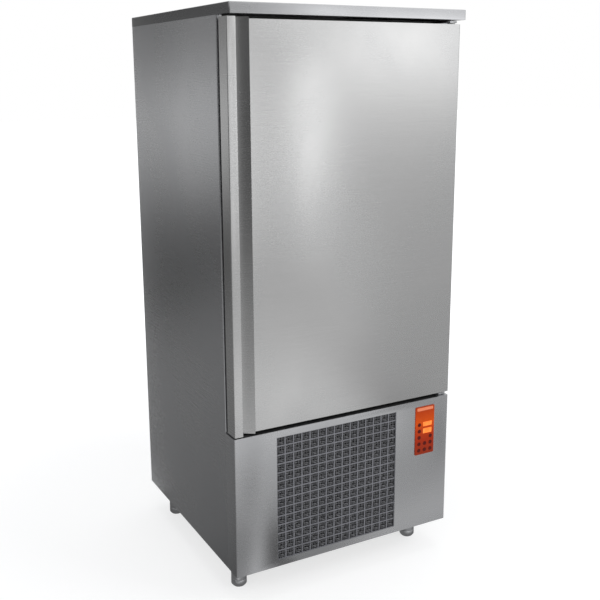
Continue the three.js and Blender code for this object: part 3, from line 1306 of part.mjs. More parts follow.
/** The inner pan: flat where the gasket sits, its middle raised towards the chamber. */
function doorLiner() {
  const left = -HALF + HANDLE_WALL + CLEAR;
  const right = HALF - SHEET - CLEAR;
  const front = DOOR_BACK - SHEET;
  const pan = block(left, right, front, DOOR_BACK, DOOR_BOTTOM + SHEET + CLEAR, DOOR_TOP - SHEET - CLEAR);
  const boss = mouthOutline(-LINER_BOSS_INSET, CHAMBER_CORNER);
  const inside = mouthOutline(-LINER_BOSS_INSET - SHEET, CHAMBER_CORNER - SHEET);
  const raised = deepen(boss, DOOR_BACK - SHEET / 2, DOOR_BACK + LINER_BOSS, 2);
  const hollow = deepen(inside, front - 1, DOOR_BACK + LINER_BOSS - SHEET, 2);
  return cut(join(pan, raised), hollow);
}

/** The mouth's outline with square corners, grown outwards. */
function mouthRectangle(grow, Kind) {
  const [left, right] = [-CHAMBER_HALF - grow, CHAMBER_HALF + grow];
  return rectangle(left, right, CHAMBER_FLOOR - grow, CHAMBER_CEILING + grow, Kind);
}

/** The gasket: a foot on the liner, a narrower bellows, and a wide head on the mouth frame. */
function doorGasket() {
  const depth = DOOR_STANDOFF - 2 * CLEAR;
  const back = DOOR_BACK + CLEAR;
  const layers = [
    { from: 0, to: 0.3, inset: 0 },
    { from: 0.25, to: 0.7, inset: GASKET_WIDTH / 5 },
    { from: 0.65, to: 1, inset: GASKET_WIDTH / 16 },
  ];
  return join(...layers.map(({ from, to, inset }) => {
    const outer = GASKET_REACH - inset;
    const inner = GASKET_REACH - GASKET_WIDTH + inset;
    const ring = mouthRectangle(outer, THREE.Shape);
    ring.holes.push(mouthRectangle(inner, THREE.Path));
    return deepen(ring, back + depth * from, back + depth * to);
  }));
}

// ---- hinges ---------------------------------------------------------------------------

/** A bush in the door's edge: a flange between bracket and door, and a barrel in the door. */
function bush(bracketFace, doorFace, up) {
  const bore = PIN_RADIUS + CLEAR;
  const outer = bracketFace + up * CLEAR;
  const shoulder = doorFace - up * CLEAR;
  const end = doorFace + up * BUSH_LENGTH;
  const outline = [[bore, outer], [BUSH_FLANGE, outer], [BUSH_FLANGE, shoulder], [BUSH_RADIUS, shoulder],
    [BUSH_RADIUS, end], [bore, end]];
  if (up < 0) {
    outline.reverse();
  }
  return turn([...outline, outline[0]], 12, PIVOT_X, PIVOT_Y);
}

/** A plate with a leg on the cabinet's front and a pin welded into it. */
function bracket(low, high, legLow, legHigh, pinLow, pinHigh) {
  const right = HALF - SHEET - CLEAR;
  const left = right - BRACKET_WIDTH;
  const back = BODY_FRONT - CLEAR;
  const front = PIVOT_Y - BUSH_FLANGE;
  const plate = new THREE.Shape();
  plate.moveTo(left, back);
  plate.lineTo(left, front + BRACKET_WIDTH / 3);
  plate.lineTo(left + BRACKET_WIDTH / 4, front);
  plate.lineTo(right - BRACKET_WIDTH / 8, front);
  plate.lineTo(right, front + BRACKET_WIDTH / 8);
  plate.lineTo(right, back);
  plate.closePath();
  return join(raise(plate, low, high), block(left, right, back - BRACKET_THICKNESS, back, legLow, legHigh),
    rod(PIN_RADIUS, pinLow, pinHigh, PIVOT_X, PIVOT_Y, 12));
}

function hinges() {
  const group = new THREE.Group();
  const low = BOTTOM_BRACKET_TOP - BRACKET_THICKNESS;
  const high = TOP_BRACKET_BOTTOM + BRACKET_THICKNESS;
  const bottom = bracket(low, BOTTOM_BRACKET_TOP, BOTTOM_BRACKET_TOP - BRACKET_LEG, BOTTOM_BRACKET_TOP,
    low, BOTTOM_BRACKET_TOP + PIN_LENGTH);
  const top = bracket(TOP_BRACKET_BOTTOM, high, high - BRACKET_LEG, high,
    TOP_BRACKET_BOTTOM - PIN_LENGTH, high);
  group.add(piece('hinge_bracket_bottom', bottom, 'steel'));
  group.add(piece('hinge_bracket_top', top, 'steel'));
  return group;
}

const blastChiller = new THREE.Group();
blastChiller.name = 'blast_chiller';
blastChiller.add(cabinet(), feet(), cell(), evaporator(), condensingUnit(), control(), hinges(), door());

export default blastChiller;
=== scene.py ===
"""Looks of an upright blast chiller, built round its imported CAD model. Metres, +Z up, door towards -Y."""

import json
import math

import bmesh
import bpy
from mathutils import Euler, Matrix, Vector

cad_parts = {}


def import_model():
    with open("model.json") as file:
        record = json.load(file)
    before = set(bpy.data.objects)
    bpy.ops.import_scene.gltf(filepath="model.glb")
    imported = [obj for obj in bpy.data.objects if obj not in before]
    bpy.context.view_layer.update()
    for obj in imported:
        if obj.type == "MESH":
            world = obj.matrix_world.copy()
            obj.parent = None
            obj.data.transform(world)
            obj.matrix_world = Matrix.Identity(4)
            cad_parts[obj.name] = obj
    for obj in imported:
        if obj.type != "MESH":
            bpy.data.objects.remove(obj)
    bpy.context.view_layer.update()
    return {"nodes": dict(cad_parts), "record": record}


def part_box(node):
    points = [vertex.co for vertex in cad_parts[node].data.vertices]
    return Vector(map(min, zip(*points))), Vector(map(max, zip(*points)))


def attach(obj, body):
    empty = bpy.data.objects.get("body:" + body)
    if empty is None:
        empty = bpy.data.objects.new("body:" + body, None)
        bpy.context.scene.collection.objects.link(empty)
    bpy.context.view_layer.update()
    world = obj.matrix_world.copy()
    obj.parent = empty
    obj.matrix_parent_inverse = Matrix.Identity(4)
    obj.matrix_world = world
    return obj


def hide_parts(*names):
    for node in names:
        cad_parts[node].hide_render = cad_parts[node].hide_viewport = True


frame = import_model()
nodes = frame["nodes"]

# ---- camera ---------------------------------------------------------------------------

# A fit to the photograph's own camera, with a smaller vertical shift than that one has.
CAMERA_PLACE = (-1.4052, -2.6393, 1.6162)
CAMERA_TURN = (77.437, 0.227, -28.664)
CAMERA_LENS = 53.58
CAMERA_SHIFT = (0.0, -0.045)
SENSOR_WIDTH = 36
NEAR_LIMIT = 0.05
FAR_LIMIT = 60


def make_camera():
    data = bpy.data.cameras.new("camera")
    data.sensor_width = SENSOR_WIDTH
    data.lens = CAMERA_LENS
    data.shift_x, data.shift_y = CAMERA_SHIFT
    data.clip_start = NEAR_LIMIT
    data.clip_end = FAR_LIMIT
    camera = bpy.data.objects.new("camera", data)
    camera.location = CAMERA_PLACE
    camera.rotation_euler = Euler([math.radians(a) for a in CAMERA_TURN])
    bpy.context.scene.collection.objects.link(camera)
    bpy.context.scene.camera = camera


make_camera()

# ---- node helpers ---------------------------------------------------------------------


class Nodes:
    """A node tree under construction, with short ways to add and join its nodes."""

    def __init__(self, tree):
        self.tree = tree

    def locate(self):
        """Make the coordinates: each point's place in its own object."""
        self.coordinates = self.add("ShaderNodeTexCoord").outputs["Object"]

    def add(self, kind, **settings):
        node = self.tree.nodes.new(kind)
        for key, value in settings.items():
            setattr(node, key, value)
        return node

    def link(self, source, target):
        self.tree.links.new(source, target)

    def fill(self, socket, value):
        """Set a socket to a number or a colour, or join it to another socket."""
        if isinstance(value, tuple):
            socket.default_value = (*value, 1)
        elif isinstance(value, (int, float)):
            socket.default_value = value
        else:
            self.link(value, socket)

    def part(self, axis):
        """Each point's place along one axis."""
        node = self.add("ShaderNodeSeparateXYZ")
        self.link(self.coordinates, node.inputs[0])
        return node.outputs[axis]

    def math(self, operation, *values, clamp=False):
        node = self.add("ShaderNodeMath", operation=operation, use_clamp=clamp)
        for socket, value in zip(node.inputs, values):
            self.fill(socket, value)
        return node.outputs[0]

    def ranged(self, source, low, high, to_low, to_high, smooth=False):
        node = self.add("ShaderNodeMapRange", interpolation_type="SMOOTHSTEP" if smooth else "LINEAR")
        for socket, value in zip(node.inputs[1:5], (low, high, to_low, to_high)):
            socket.default_value = value
        self.link(source, node.inputs[0])
        return node.outputs[0]

    def ramp(self, source, *stops, interpolation="LINEAR"):
        """Colours along a source that runs from 0 to 1; each stop is a place and a colour."""
        node = self.add("ShaderNodeValToRGB")
        node.color_ramp.interpolation = interpolation
        elements = node.color_ramp.elements
        while len(elements) < len(stops):
            elements.new(0.5)
        for element, (at, colour) in zip(elements, stops):
            element.position = at
            element.color = (*colour, 1)
        self.link(source, node.inputs["Fac"])
        return node.outputs["Color"]

    def shader_of(self, kind, socket, value):
        """A shader whose named socket is filled with a value."""
        node = self.add(kind)
        self.fill(node.inputs[socket], value)
        return node.outputs[0]

    def either_shader(self, factor, first, second):
        """The first shader where the factor is 0, the second where it is 1."""
        node = self.add("ShaderNodeMixShader")
        for socket, source in zip(node.inputs, (factor, first, second)):
            self.link(source, socket)
        return node.outputs[0]

    def seen_as_image(self):
        """1 for what is seen directly, mirrored or through glass, 0 for the light on rough surfaces."""
        rays = self.add("ShaderNodeLightPath").outputs
        direct = self.math("MAXIMUM", rays["Is Camera Ray"], rays["Is Glossy Ray"])
        return self.math("MAXIMUM", direct, rays["Is Transmission Ray"])


def new_material(name):
    material = bpy.data.materials.new(name)
    material.use_nodes = True
    return material


SOCKETS = {"metallic": "Metallic", "roughness": "Roughness", "specular_ior_level": "Specular IOR Level",
           "emission_strength": "Emission Strength"}
FACING_LIMIT = 0.7  # least part of the normal along an axis for a face to count as facing along it


class Look(Nodes):
    """A material of the object under construction: a Principled shader and what feeds it."""

    def __init__(self, name, **values):
        self.material = new_material(name)
        super().__init__(self.material.node_tree)
        self.locate()
        self.shader = self.tree.nodes["Principled BSDF"]
        for socket, value in values.items():
            self.shader.inputs[SOCKETS[socket]].default_value = value

    def feed(self, socket, source):
        self.link(source, self.shader.inputs[socket])

    def noise(self, scale, detail=3, roughness=0.55, distortion=0.0):
        """Noise of a scale that is one number, or one for each axis."""
        mapping = self.add("ShaderNodeMapping")
        mapping.inputs["Scale"].default_value = scale if isinstance(scale, tuple) else (scale,) * 3
        self.link(self.coordinates, mapping.inputs["Vector"])
        node = self.add("ShaderNodeTexNoise")
        node.inputs["Scale"].default_value = 1.0
        node.inputs["Detail"].default_value = detail
        node.inputs["Roughness"].default_value = roughness
        node.inputs["Distortion"].default_value = distortion
        self.link(mapping.outputs["Vector"], node.inputs["Vector"])
        return node.outputs["Fac"]

    def mixed(self, factor, a, b, blend="MIX"):
        node = self.add("ShaderNodeMix", data_type="RGBA", blend_type=blend)
        for socket, value in ((node.inputs[0], factor), (node.inputs[6], a), (node.inputs[7], b)):
            self.fill(socket, value)
        return node.outputs[2]

    def bump(self, height, strength, distance):
        node = self.add("ShaderNodeBump")
        node.inputs["Strength"].default_value = strength
        node.inputs["Distance"].default_value = distance
        self.link(height, node.inputs["Height"])
        self.feed("Normal", node.outputs["Normal"])

    def facing(self, axis):
        """1 where the surface faces along the axis, either way, and 0 elsewhere."""
        node = self.add("ShaderNodeSeparateXYZ")
        self.link(self.add("ShaderNodeNewGeometry").outputs["Normal"], node.inputs[0])
        return self.math("GREATER_THAN", self.math("ABSOLUTE", node.outputs[axis]), FACING_LIMIT)


def shade(colour, amount):
    return tuple(c * amount for c in colour)


# ---- materials --------------------------------------------------------------------------

NOISE_SPAN = (0.3, 0.7)  # most values of a noise lie between these
GRAIN_SPAN = (0.32, 0.68)  # and of a steel's grain
CLOUD_SPAN = (0.35, 0.65)  # and of its handling marks


def brushed(name, colour, rough, grain, ends=1.0):
    """Steel with a fine level grain, a faint mottle, cloudy handling marks and a few longer scratches.

    Grain sets how strongly the brushing shows. Ends below 1 paint shade on the faces that look to either
    side, darkening their colour.
    """
    look = Look(name, metallic=1.0, roughness=rough)
    flat_faces = look.facing("Z")

    def streaks(along, across, detail, roughness):
        """Noise drawn out into level streaks, which run along X on the faces that lie flat."""
        return look.mixed(flat_faces, look.noise((along, along, across), detail, roughness),
                          look.noise((along, across, along), detail, roughness))

    lines = look.math("MULTIPLY", streaks(16, 1500, 3, 0.6), 0.5)
    bands = look.math("MULTIPLY", streaks(3.2, 330, 3, 0.6), 0.22)
    mottle = look.math("MULTIPLY", look.noise((330, 330, 420), detail=2, roughness=0.6), 0.28)
    grainy = look.math("ADD", look.math("ADD", lines, bands), mottle)
    cloud = look.noise((3.1, 3.1, 2.3), detail=4, roughness=0.5, distortion=0.6)
    scratch = look.ranged(streaks(1.1, 640, 1, 0.5), 0.76, 0.82, 0, 0.14)

    tone = look.ramp(grainy, (GRAIN_SPAN[0], shade(colour, 1 - 0.075 * grain)),
                     (GRAIN_SPAN[1], shade(colour, 1 + 0.06 * grain)))
    haze = look.ramp(cloud, (CLOUD_SPAN[0], (0.95, 0.955, 0.96)), (CLOUD_SPAN[1], (1, 1, 1)))
    tone = look.mixed(1.0, tone, haze, "MULTIPLY")
    # painted shade: with ends below 1, the faces that look to either side take a darker copy of the colour
    if ends < 1:
        tone = look.mixed(look.facing("X"), tone, shade(colour, ends))
    look.feed("Base Color", look.mixed(scratch, tone, shade(colour, 1.3)))
    spread = look.math("ADD", look.ranged(grainy, *GRAIN_SPAN, -0.035 * grain, 0.04 * grain),
                       look.ranged(cloud, *CLOUD_SPAN, 0.035, -0.02))
    look.feed("Roughness", look.math("ADD", spread, rough, clamp=True))
    look.bump(grainy, strength=0.09 * grain, distance=0.0005)
    return look.material


def galvanised(name, colour):
    """Zinc with the crystals of a hot dip, each a little lighter or rougher than the next."""
    look = Look(name, metallic=1.0, roughness=0.5)
    crystals = look.add("ShaderNodeTexVoronoi", feature="F1")
    crystals.inputs["Scale"].default_value = 90
    look.link(look.coordinates, crystals.inputs["Vector"])
    separate = look.add("ShaderNodeSeparateColor")
    look.link(crystals.outputs["Color"], separate.inputs[0])
    look.feed("Base Color", look.ramp(separate.outputs[0], (0.0, shade(colour, 0.82)),
                                      (1.0, shade(colour, 1.15))))
    look.feed("Roughness", look.ranged(separate.outputs[1], 0, 1, 0.38, 0.6))
    look.bump(look.noise(240, detail=2), strength=0.05, distance=0.0004)
    return look.material


BARE_METAL = (0.45, 0.45, 0.45)


def painted(name, colour, rough, texture, metallic=0.0, wear=0.0, specular=0.5):
    """Paint or plastic with a fine texture and a cloudy tone; wear bares the metal along its edges."""
    look = Look(name, metallic=metallic, roughness=rough, specular_ior_level=specular)
    cloud = look.noise(9, detail=4, roughness=0.6)
    tone = look.ramp(cloud, (0.3, shade(colour, 0.88)), (0.7, shade(colour, 1.1)))
    if wear:
        edge = look.add("ShaderNodeNewGeometry").outputs["Pointiness"]
        tone = look.mixed(look.ranged(edge, 0.53, 0.6, 0, wear), tone, BARE_METAL)
    look.feed("Base Color", tone)
    look.feed("Roughness", look.ranged(cloud, *NOISE_SPAN, rough - 0.05, rough + 0.07))
    look.bump(look.noise(420, detail=3, roughness=0.6), strength=texture, distance=0.0004)
    return look.material


def rubber(name):
    look = Look(name, roughness=0.7)
    dust = look.noise(30, detail=4, roughness=0.6)
    look.feed("Base Color", look.ramp(dust, (0.35, (0.010, 0.010, 0.011)), (0.75, (0.022, 0.022, 0.022))))
    look.feed("Roughness", look.ranged(dust, *NOISE_SPAN, 0.6, 0.8))
    look.bump(look.noise(700, detail=2), strength=0.12, distance=0.0003)
    return look.material


def foam(name):
    look = Look(name, roughness=0.95)
    cells = look.noise(160, detail=4, roughness=0.7)
    look.feed("Base Color", look.ramp(cells, (0.3, (0.52, 0.40, 0.19)), (0.7, (0.76, 0.64, 0.36))))
    look.bump(cells, strength=0.5, distance=0.0012)
    return look.material


def finned(name, colour, pitch):
    """Aluminium fins, with a fine relief of many more fins than the solid has, and painted shade darkening
    the gaps between them.
    """
    look = Look(name, metallic=1.0, roughness=0.45)
    turns = look.math("MULTIPLY", look.part("X"), 2 * math.pi / pitch)
    wave = look.math("ABSOLUTE", look.math("SINE", turns))
    cloud = look.noise((14, 14, 6), detail=3)
    # painted shade: between the fine fins the colour drops to a darker copy, where shade would fall in the
    # gaps
    tone = look.ramp(wave, (0.1, shade(colour, 0.35)), (0.6, colour))
    look.feed("Base Color", look.mixed(look.ranged(cloud, *NOISE_SPAN, 0.0, 0.3), tone, shade(colour, 0.6)))
    look.feed("Roughness", look.ranged(cloud, *NOISE_SPAN, 0.38, 0.52))
    look.bump(wave, strength=0.5, distance=0.001)
    return look.material


def copper(name):
    look = Look(name, metallic=1.0, roughness=0.35)
    tarnish = look.noise(26, detail=4, roughness=0.65, distortion=0.8)
    look.feed("Base Color", look.ramp(tarnish, (0.3, (0.36, 0.13, 0.06)), (0.55, (0.62, 0.26, 0.13)),
                                      (0.8, (0.74, 0.38, 0.22))))
    look.feed("Roughness", look.ranged(tarnish, *NOISE_SPAN, 0.42, 0.28))
    look.bump(look.noise((300, 300, 40), detail=2), strength=0.05, distance=0.0003)
    return look.material


def overlay_film(name):
    """Translucent orange film with a painted glow: its colour and emission are brightest round the displays
    and darker below.
    """
    look = Look(name, roughness=0.45, specular_ior_level=0.12, emission_strength=0.22)
    low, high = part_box("control_panel")
    height = look.ranged(look.part("Z"), low.z, high.z, 0, 1)
    # painted glow: colour and emission by height, brightest round the displays and darker below; the film is
    # no lamp
    glow = look.ramp(height, (0.0, (0.24, 0.024, 0.006)), (0.30, (0.32, 0.022, 0.003)),
                     (0.52, (0.44, 0.040, 0.002)), (0.66, (0.58, 0.070, 0.001)),
                     (0.88, (0.44, 0.042, 0.001)), (1.0, (0.36, 0.040, 0.006)))
    fleck = look.noise(160, detail=3)
    tone = look.mixed(look.ranged(fleck, *NOISE_SPAN, 0.0, 0.12), glow, (0.20, 0.018, 0.006))
    look.feed("Base Color", tone)
    look.feed("Roughness", look.ranged(fleck, *NOISE_SPAN, 0.33, 0.45))
    look.feed("Emission Color", glow)
    look.bump(look.noise(900, detail=2), strength=0.06, distance=0.0002)
    return look.material


WINDOWS_END = 0.01  # height over the display lens where the look turns from window to strip
STRIP_STARTS = 0.015


def lit_window(name):
    """Lit display windows, and in a paler tone the strip above them, which glows too as painted light."""
    look = Look(name, roughness=0.18, emission_strength=0.55)
    across = look.noise(60, detail=2)
    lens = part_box("display_lens")[1]
    above = look.ranged(look.part("Z"), lens.z + WINDOWS_END, lens.z + STRIP_STARTS, 0, 1)
    lit = look.ramp(across, (0.35, (0.88, 0.17, 0.018)), (0.65, (0.95, 0.25, 0.045)))
    # the strip's paler tone goes into the emission too: a painted glow on a plain strip
    tone = look.mixed(above, lit, (0.56, 0.16, 0.075))
    look.feed("Base Color", tone)
    look.feed("Emission Color", tone)
    look.feed("Roughness", look.ranged(across, *NOISE_SPAN, 0.14, 0.24))
    return look.material


CABINET_COLOUR = (0.60, 0.605, 0.62)
LOOKS = {
    "cabinet_steel": brushed("cabinet_steel", CABINET_COLOUR, rough=0.27, grain=0.75),
    "door_steel": brushed("door_steel", (0.62, 0.62, 0.62), rough=0.25, grain=0.8),
    "inner_steel": brushed("inner_steel", (0.64, 0.645, 0.65), rough=0.32, grain=0.7),
    "galvanised_steel": galvanised("galvanised_steel", (0.45, 0.46, 0.47)),
    "grille_metal": painted("grille_metal", (0.225, 0.225, 0.245), rough=0.45, texture=0.15,
                            metallic=0.35, wear=0.2),
    "insulation_foam": foam("insulation_foam"),
    "pale_plastic": painted("pale_plastic", (0.70, 0.70, 0.68), rough=0.45, texture=0.08),
    "black_plastic": painted("black_plastic", (0.014, 0.014, 0.015), rough=0.45, texture=0.15),
    "gasket_rubber": rubber("gasket_rubber"),
    "black_paint": painted("black_paint", (0.016, 0.017, 0.018), rough=0.38, texture=0.2, wear=0.25),
    "fin_aluminium": finned("fin_aluminium", (0.52, 0.54, 0.56), pitch=0.004),
    "copper_tube": copper("copper_tube"),
    "control_overlay": overlay_film("control_overlay"),
    "display_glass": lit_window("display_glass"),
    "key_plastic": painted("key_plastic", (0.10, 0.006, 0.004), rough=0.5, texture=0.1, specular=0.15),
}
SLOT_OF = {entry["node"]: entry["material_slot"] for entry in frame["record"]["subparts"]}
# Nodes that differ from the rest of their slot: the cap's ends get painted shade, darker than its front.
OWN_LOOKS = {"top_panel": brushed("cap_steel_shaded_ends", CABINET_COLOUR, rough=0.27, grain=0.75, ends=0.36)}

# ---- surface of the CAD nodes -----------------------------------------------------------

SHARP_ANGLE = math.radians(50)  # an edge that turns by more than this stays sharp
WELD_DISTANCE = 0.000002
BEVEL_SEGMENTS = 2
BEVEL_WIDTHS = {
    "door_skin": 0.0006,
    "door_handle": 0.0006,
    "top_panel": 0.0004,
    "door_gasket": 0.0012,
    "door_liner": 0.0005,
    "control_panel": 0.0004,
    "display_lens": 0.0003,
    "condenser_grille": 0.0003,
}


def soft_shading():
    """Node group that welds a mesh and shades it smooth except across sharp edges."""
    group = bpy.data.node_groups.new("soft_shading", "GeometryNodeTree")
    group.interface.new_socket("Geometry", in_out="INPUT", socket_type="NodeSocketGeometry")
    group.interface.new_socket("Geometry", in_out="OUTPUT", socket_type="NodeSocketGeometry")
    tree = Nodes(group)
    bare = tree.add("GeometryNodeRemoveAttribute")
    bare.inputs["Name"].default_value = "custom_normal"
    weld = tree.add("GeometryNodeMergeByDistance")
    weld.inputs["Distance"].default_value = WELD_DISTANCE
    faces = tree.add("GeometryNodeSetShadeSmooth", domain="FACE")
    edges = tree.add("GeometryNodeSetShadeSmooth", domain="EDGE")
    chain = (tree.add("NodeGroupInput"), bare, weld, faces, edges, tree.add("NodeGroupOutput"))
    for before, after in zip(chain, chain[1:]):
        tree.link(before.outputs[0], after.inputs[0])
    gentle = tree.add("FunctionNodeCompare", data_type="FLOAT", operation="LESS_THAN")
    gentle.inputs[1].default_value = SHARP_ANGLE
    tree.link(tree.add("GeometryNodeInputMeshEdgeAngle").outputs["Unsigned Angle"], gentle.inputs[0])
    tree.link(gentle.outputs[0], edges.inputs["Shade Smooth"])
    return group


SOFT_SHADING = soft_shading()


def soften(thing):
    modifier = thing.modifiers.new("soft", "NODES")
    modifier.node_group = SOFT_SHADING


def dress(name, thing):
    """Give a CAD node its material, smooth shading on curves and small broken edges."""
    thing.data.materials.clear()
    thing.data.materials.append(OWN_LOOKS.get(name) or LOOKS[SLOT_OF[name]])
    for face in thing.data.polygons:
        face.material_index = 0
    soften(thing)
    if name in BEVEL_WIDTHS:
        bevel = thing.modifiers.new("edge", "BEVEL")
        bevel.width = BEVEL_WIDTHS[name]
        bevel.segments = BEVEL_SEGMENTS
        bevel.limit_method = "ANGLE"
        bevel.angle_limit = SHARP_ANGLE


for node_name, node_object in nodes.items():
    dress(node_name, node_object)

# ---- building forms ---------------------------------------------------------------------

AXIS_RADIUS = 0.0002  # a turned body's ends close on a ring as small as this


def place(name, form, slot, body):
    """Make a finished form a piece of the object, with its slot's material."""
    bmesh.ops.recalc_face_normals(form, faces=form.faces)
    mesh = bpy.data.meshes.new(name)
    form.to_mesh(mesh)
    form.free()
    mesh.materials.append(LOOKS[slot])
    thing = bpy.data.objects.new(name, mesh)
    bpy.context.scene.collection.objects.link(thing)
    soften(thing)
    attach(thing, body)
    return thing


def around(count):
    """Equal steps of one full turn, in radians."""
    return [2 * math.pi * k / count for k in range(count)]


def between(start, end, count):
    """Equally spaced values from start to end, both counted."""
    return [start + (end - start) * k / (count - 1) for k in range(count)]


def ring_of(form, points):
    return [form.verts.new(p) for p in points]


def skin(form, rings, closed_loop=False):
    """Faces between successive rings of equal count, with an end face at each end of an open row."""
    count = len(rings[0])
    pairs = list(zip(rings, rings[1:])) + ([(rings[-1], rings[0])] if closed_loop else [])
    for a, b in pairs:
        for i in range(count):
            j = (i + 1) % count
            form.faces.new((a[i], a[j], b[j], b[i]))
    if not closed_loop:
        form.faces.new(list(reversed(rings[0])))
        form.faces.new(rings[-1])


def lathe(form, profile, centre, axis, segments):
    """A body turned about an axis through a point; the profile holds (radius, distance along the axis)."""
    turn = Vector((0, 0, 1)).rotation_difference(Vector(axis)).to_matrix()
    rings = []
    for radius, along in profile:
        local = [Vector((radius * math.cos(a), radius * math.sin(a), along)) for a in around(segments)]
        rings.append(ring_of(form, [Vector(centre) + turn @ point for point in local]))
    skin(form, rings)


def wire(form, points, radius, sides, closed=False):
    """A round wire along a list of points."""
    count = len(points)
    rings = []
    for i, point in enumerate(points):
        before = points[(i - 1) % count] if closed or i > 0 else point
        after = points[(i + 1) % count] if closed or i < count - 1 else point
        along = (Vector(after) - Vector(before)).normalized()
        side = along.cross(Vector((0, 1, 0)))
        if side.length < 1e-4:
            side = along.cross(Vector((0, 0, 1)))
        side.normalize()
        up = side.cross(along)
        rings.append(ring_of(form, [Vector(point) + radius * (math.cos(a) * side + math.sin(a) * up)
                                    for a in around(sides)]))
    skin(form, rings, closed_loop=closed)


# ---- screen behind the grille -----------------------------------------------------------

# The punched grille's windows and border, as in the CAD model.
GRILLE_COLUMNS = 15
GRILLE_ROWS = 14
GRILLE_BORDER = 0.012
WEAVE_BEHIND = 0.0034  # from the grille's back to the middle of the weave
RIBBONS_PER_WINDOW = 2
RIBBON_HALF = 0.0052
RIBBON_DEPTH = 0.0007
RIBBON_WAVE = 0.0011
RIBBON_STEPS = 4  # points of its path from one crossing to the next
RIBBON_FLATTENING = 1.6  # the wave's height, in waves, before its tops are cut off
RIB_OFFSET = 0.0026
RIB_SINK = 0.0002
RIB_RADIUS = 0.0009
RIB_SIDES = 4


def ribbon_path(forward_first, count, start, length, middle):
    """A ribbon's path along its own direction, as (along, depth), swinging once in two crossings."""
    turned = 1 if forward_first else -1
    path = []
    for k in range(RIBBON_STEPS * count + 1):
        swing = RIBBON_FLATTENING * math.sin(math.pi * (k / RIBBON_STEPS))
        depth = middle - turned * RIBBON_WAVE * max(-1, min(1, swing))
        path.append((start + length / count * k / RIBBON_STEPS, depth))
    return path


def grille_weave():
    """Woven screen behind the punched grille: flat ribbons that pass over and under, each with two ribs."""
    low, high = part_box("condenser_grille")
    left, right = low.x + GRILLE_BORDER, high.x - GRILLE_BORDER
    bottom, top = low.z + GRILLE_BORDER, high.z - GRILLE_BORDER
    columns, rows = RIBBONS_PER_WINDOW * GRILLE_COLUMNS, RIBBONS_PER_WINDOW * GRILLE_ROWS
    middle = high.y + WEAVE_BEHIND
    ribbons, ribs = bmesh.new(), bmesh.new()

    def lay(upright, across, path):
        def at(along, side, depth):
            return (across + side, depth, along) if upright else (along, depth, across + side)

        rings = []
        for along, depth in path:
            section = [(-RIBBON_HALF, depth), (RIBBON_HALF, depth), (RIBBON_HALF, depth + RIBBON_DEPTH),
                       (-RIBBON_HALF, depth + RIBBON_DEPTH)]
            rings.append(ring_of(ribbons, [at(along, side, y) for side, y in section]))
        skin(ribbons, rings)
        for side in (-RIB_OFFSET, RIB_OFFSET):
            wire(ribs, [at(along, side, depth - RIB_SINK) for along, depth in path], RIB_RADIUS, RIB_SIDES)

    for column in range(columns):
        across = left + (right - left) / columns * (column + 0.5)
        lay(True, across, ribbon_path(column % 2 == 0, rows, bottom, top - bottom, middle))
    for row in range(rows):
        across = bottom + (top - bottom) / rows * (row + 0.5)
        lay(False, across, ribbon_path(row % 2 == 1, columns, left, right - left, middle))
    place("grille_weave", ribbons, "black_plastic", "cabinet")
    place("grille_weave_ribs", ribs, "grille_metal", "cabinet")


# ---- dark strip under the door, painted shade in the gap --------------------------------

SHADE_STRIP_FRONT = 0.0035  # from the lower panel's front face
SHADE_STRIP_BACK = 0.052
SHADE_STRIP_REST = 0.0001  # above the panel's upper fold
SHADE_STRIP_SHOULDER = 0.0012
SHADE_STRIP_TOP = 0.0018
SHADE_STRIP_FRONT_SLOPE = 0.0015
SHADE_STRIP_BACK_SLOPE = 0.002
SHADE_STRIP_END = 0.004  # from the panel's left end
SHADE_STRIP_TO_BRACKET = 0.002


def door_gap_shade_strip():
    """Black strip on the upper fold of the lower panel, under the door: a dark sheet put there as painted
    shade in the gap.
    """
    low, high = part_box("lower_front_panel")
    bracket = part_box("hinge_bracket_bottom")[0]
    front, back = low.y + SHADE_STRIP_FRONT, low.y + SHADE_STRIP_BACK
    profile = [(front, SHADE_STRIP_REST), (front, SHADE_STRIP_SHOULDER), (front + SHADE_STRIP_FRONT_SLOPE, SHADE_STRIP_TOP),
               (back - SHADE_STRIP_BACK_SLOPE, SHADE_STRIP_TOP), (back, SHADE_STRIP_SHOULDER), (back, SHADE_STRIP_REST)]
    form = bmesh.new()
    skin(form, [ring_of(form, [(x, y, high.z + z) for y, z in profile])
                for x in (low.x + SHADE_STRIP_END, bracket.x - SHADE_STRIP_TO_BRACKET)])
    # painted shade: the rubber's dark colour stands for the shade in the gap under the door
    place("door_gap_shade_strip", form, "gasket_rubber", "cabinet")


# ---- guards of the evaporator fans ------------------------------------------------------

GUARD_RINGS = 9
GUARD_FIRST_RADIUS = 0.024
GUARD_PITCH = 0.0135
GUARD_STAND = 0.0105  # of the inner rings, in front of the cover
GUARD_DISH = 0.006  # how much nearer to the cover the outer ring lies
GUARD_WIRE = 0.0011
GUARD_STEPS = 48
ARMS = 4
ARM_POINTS = 12
ARM_BENT_POINTS = 3
ARM_START = 0.022
ARM_LENGTH = 0.118
ARM_STAND = 0.0085
ARM_BEND = 0.0072  # how far an arm's outer end is bent back towards the cover
ARM_WIRE = 0.0014
WIRE_SIDES = 6


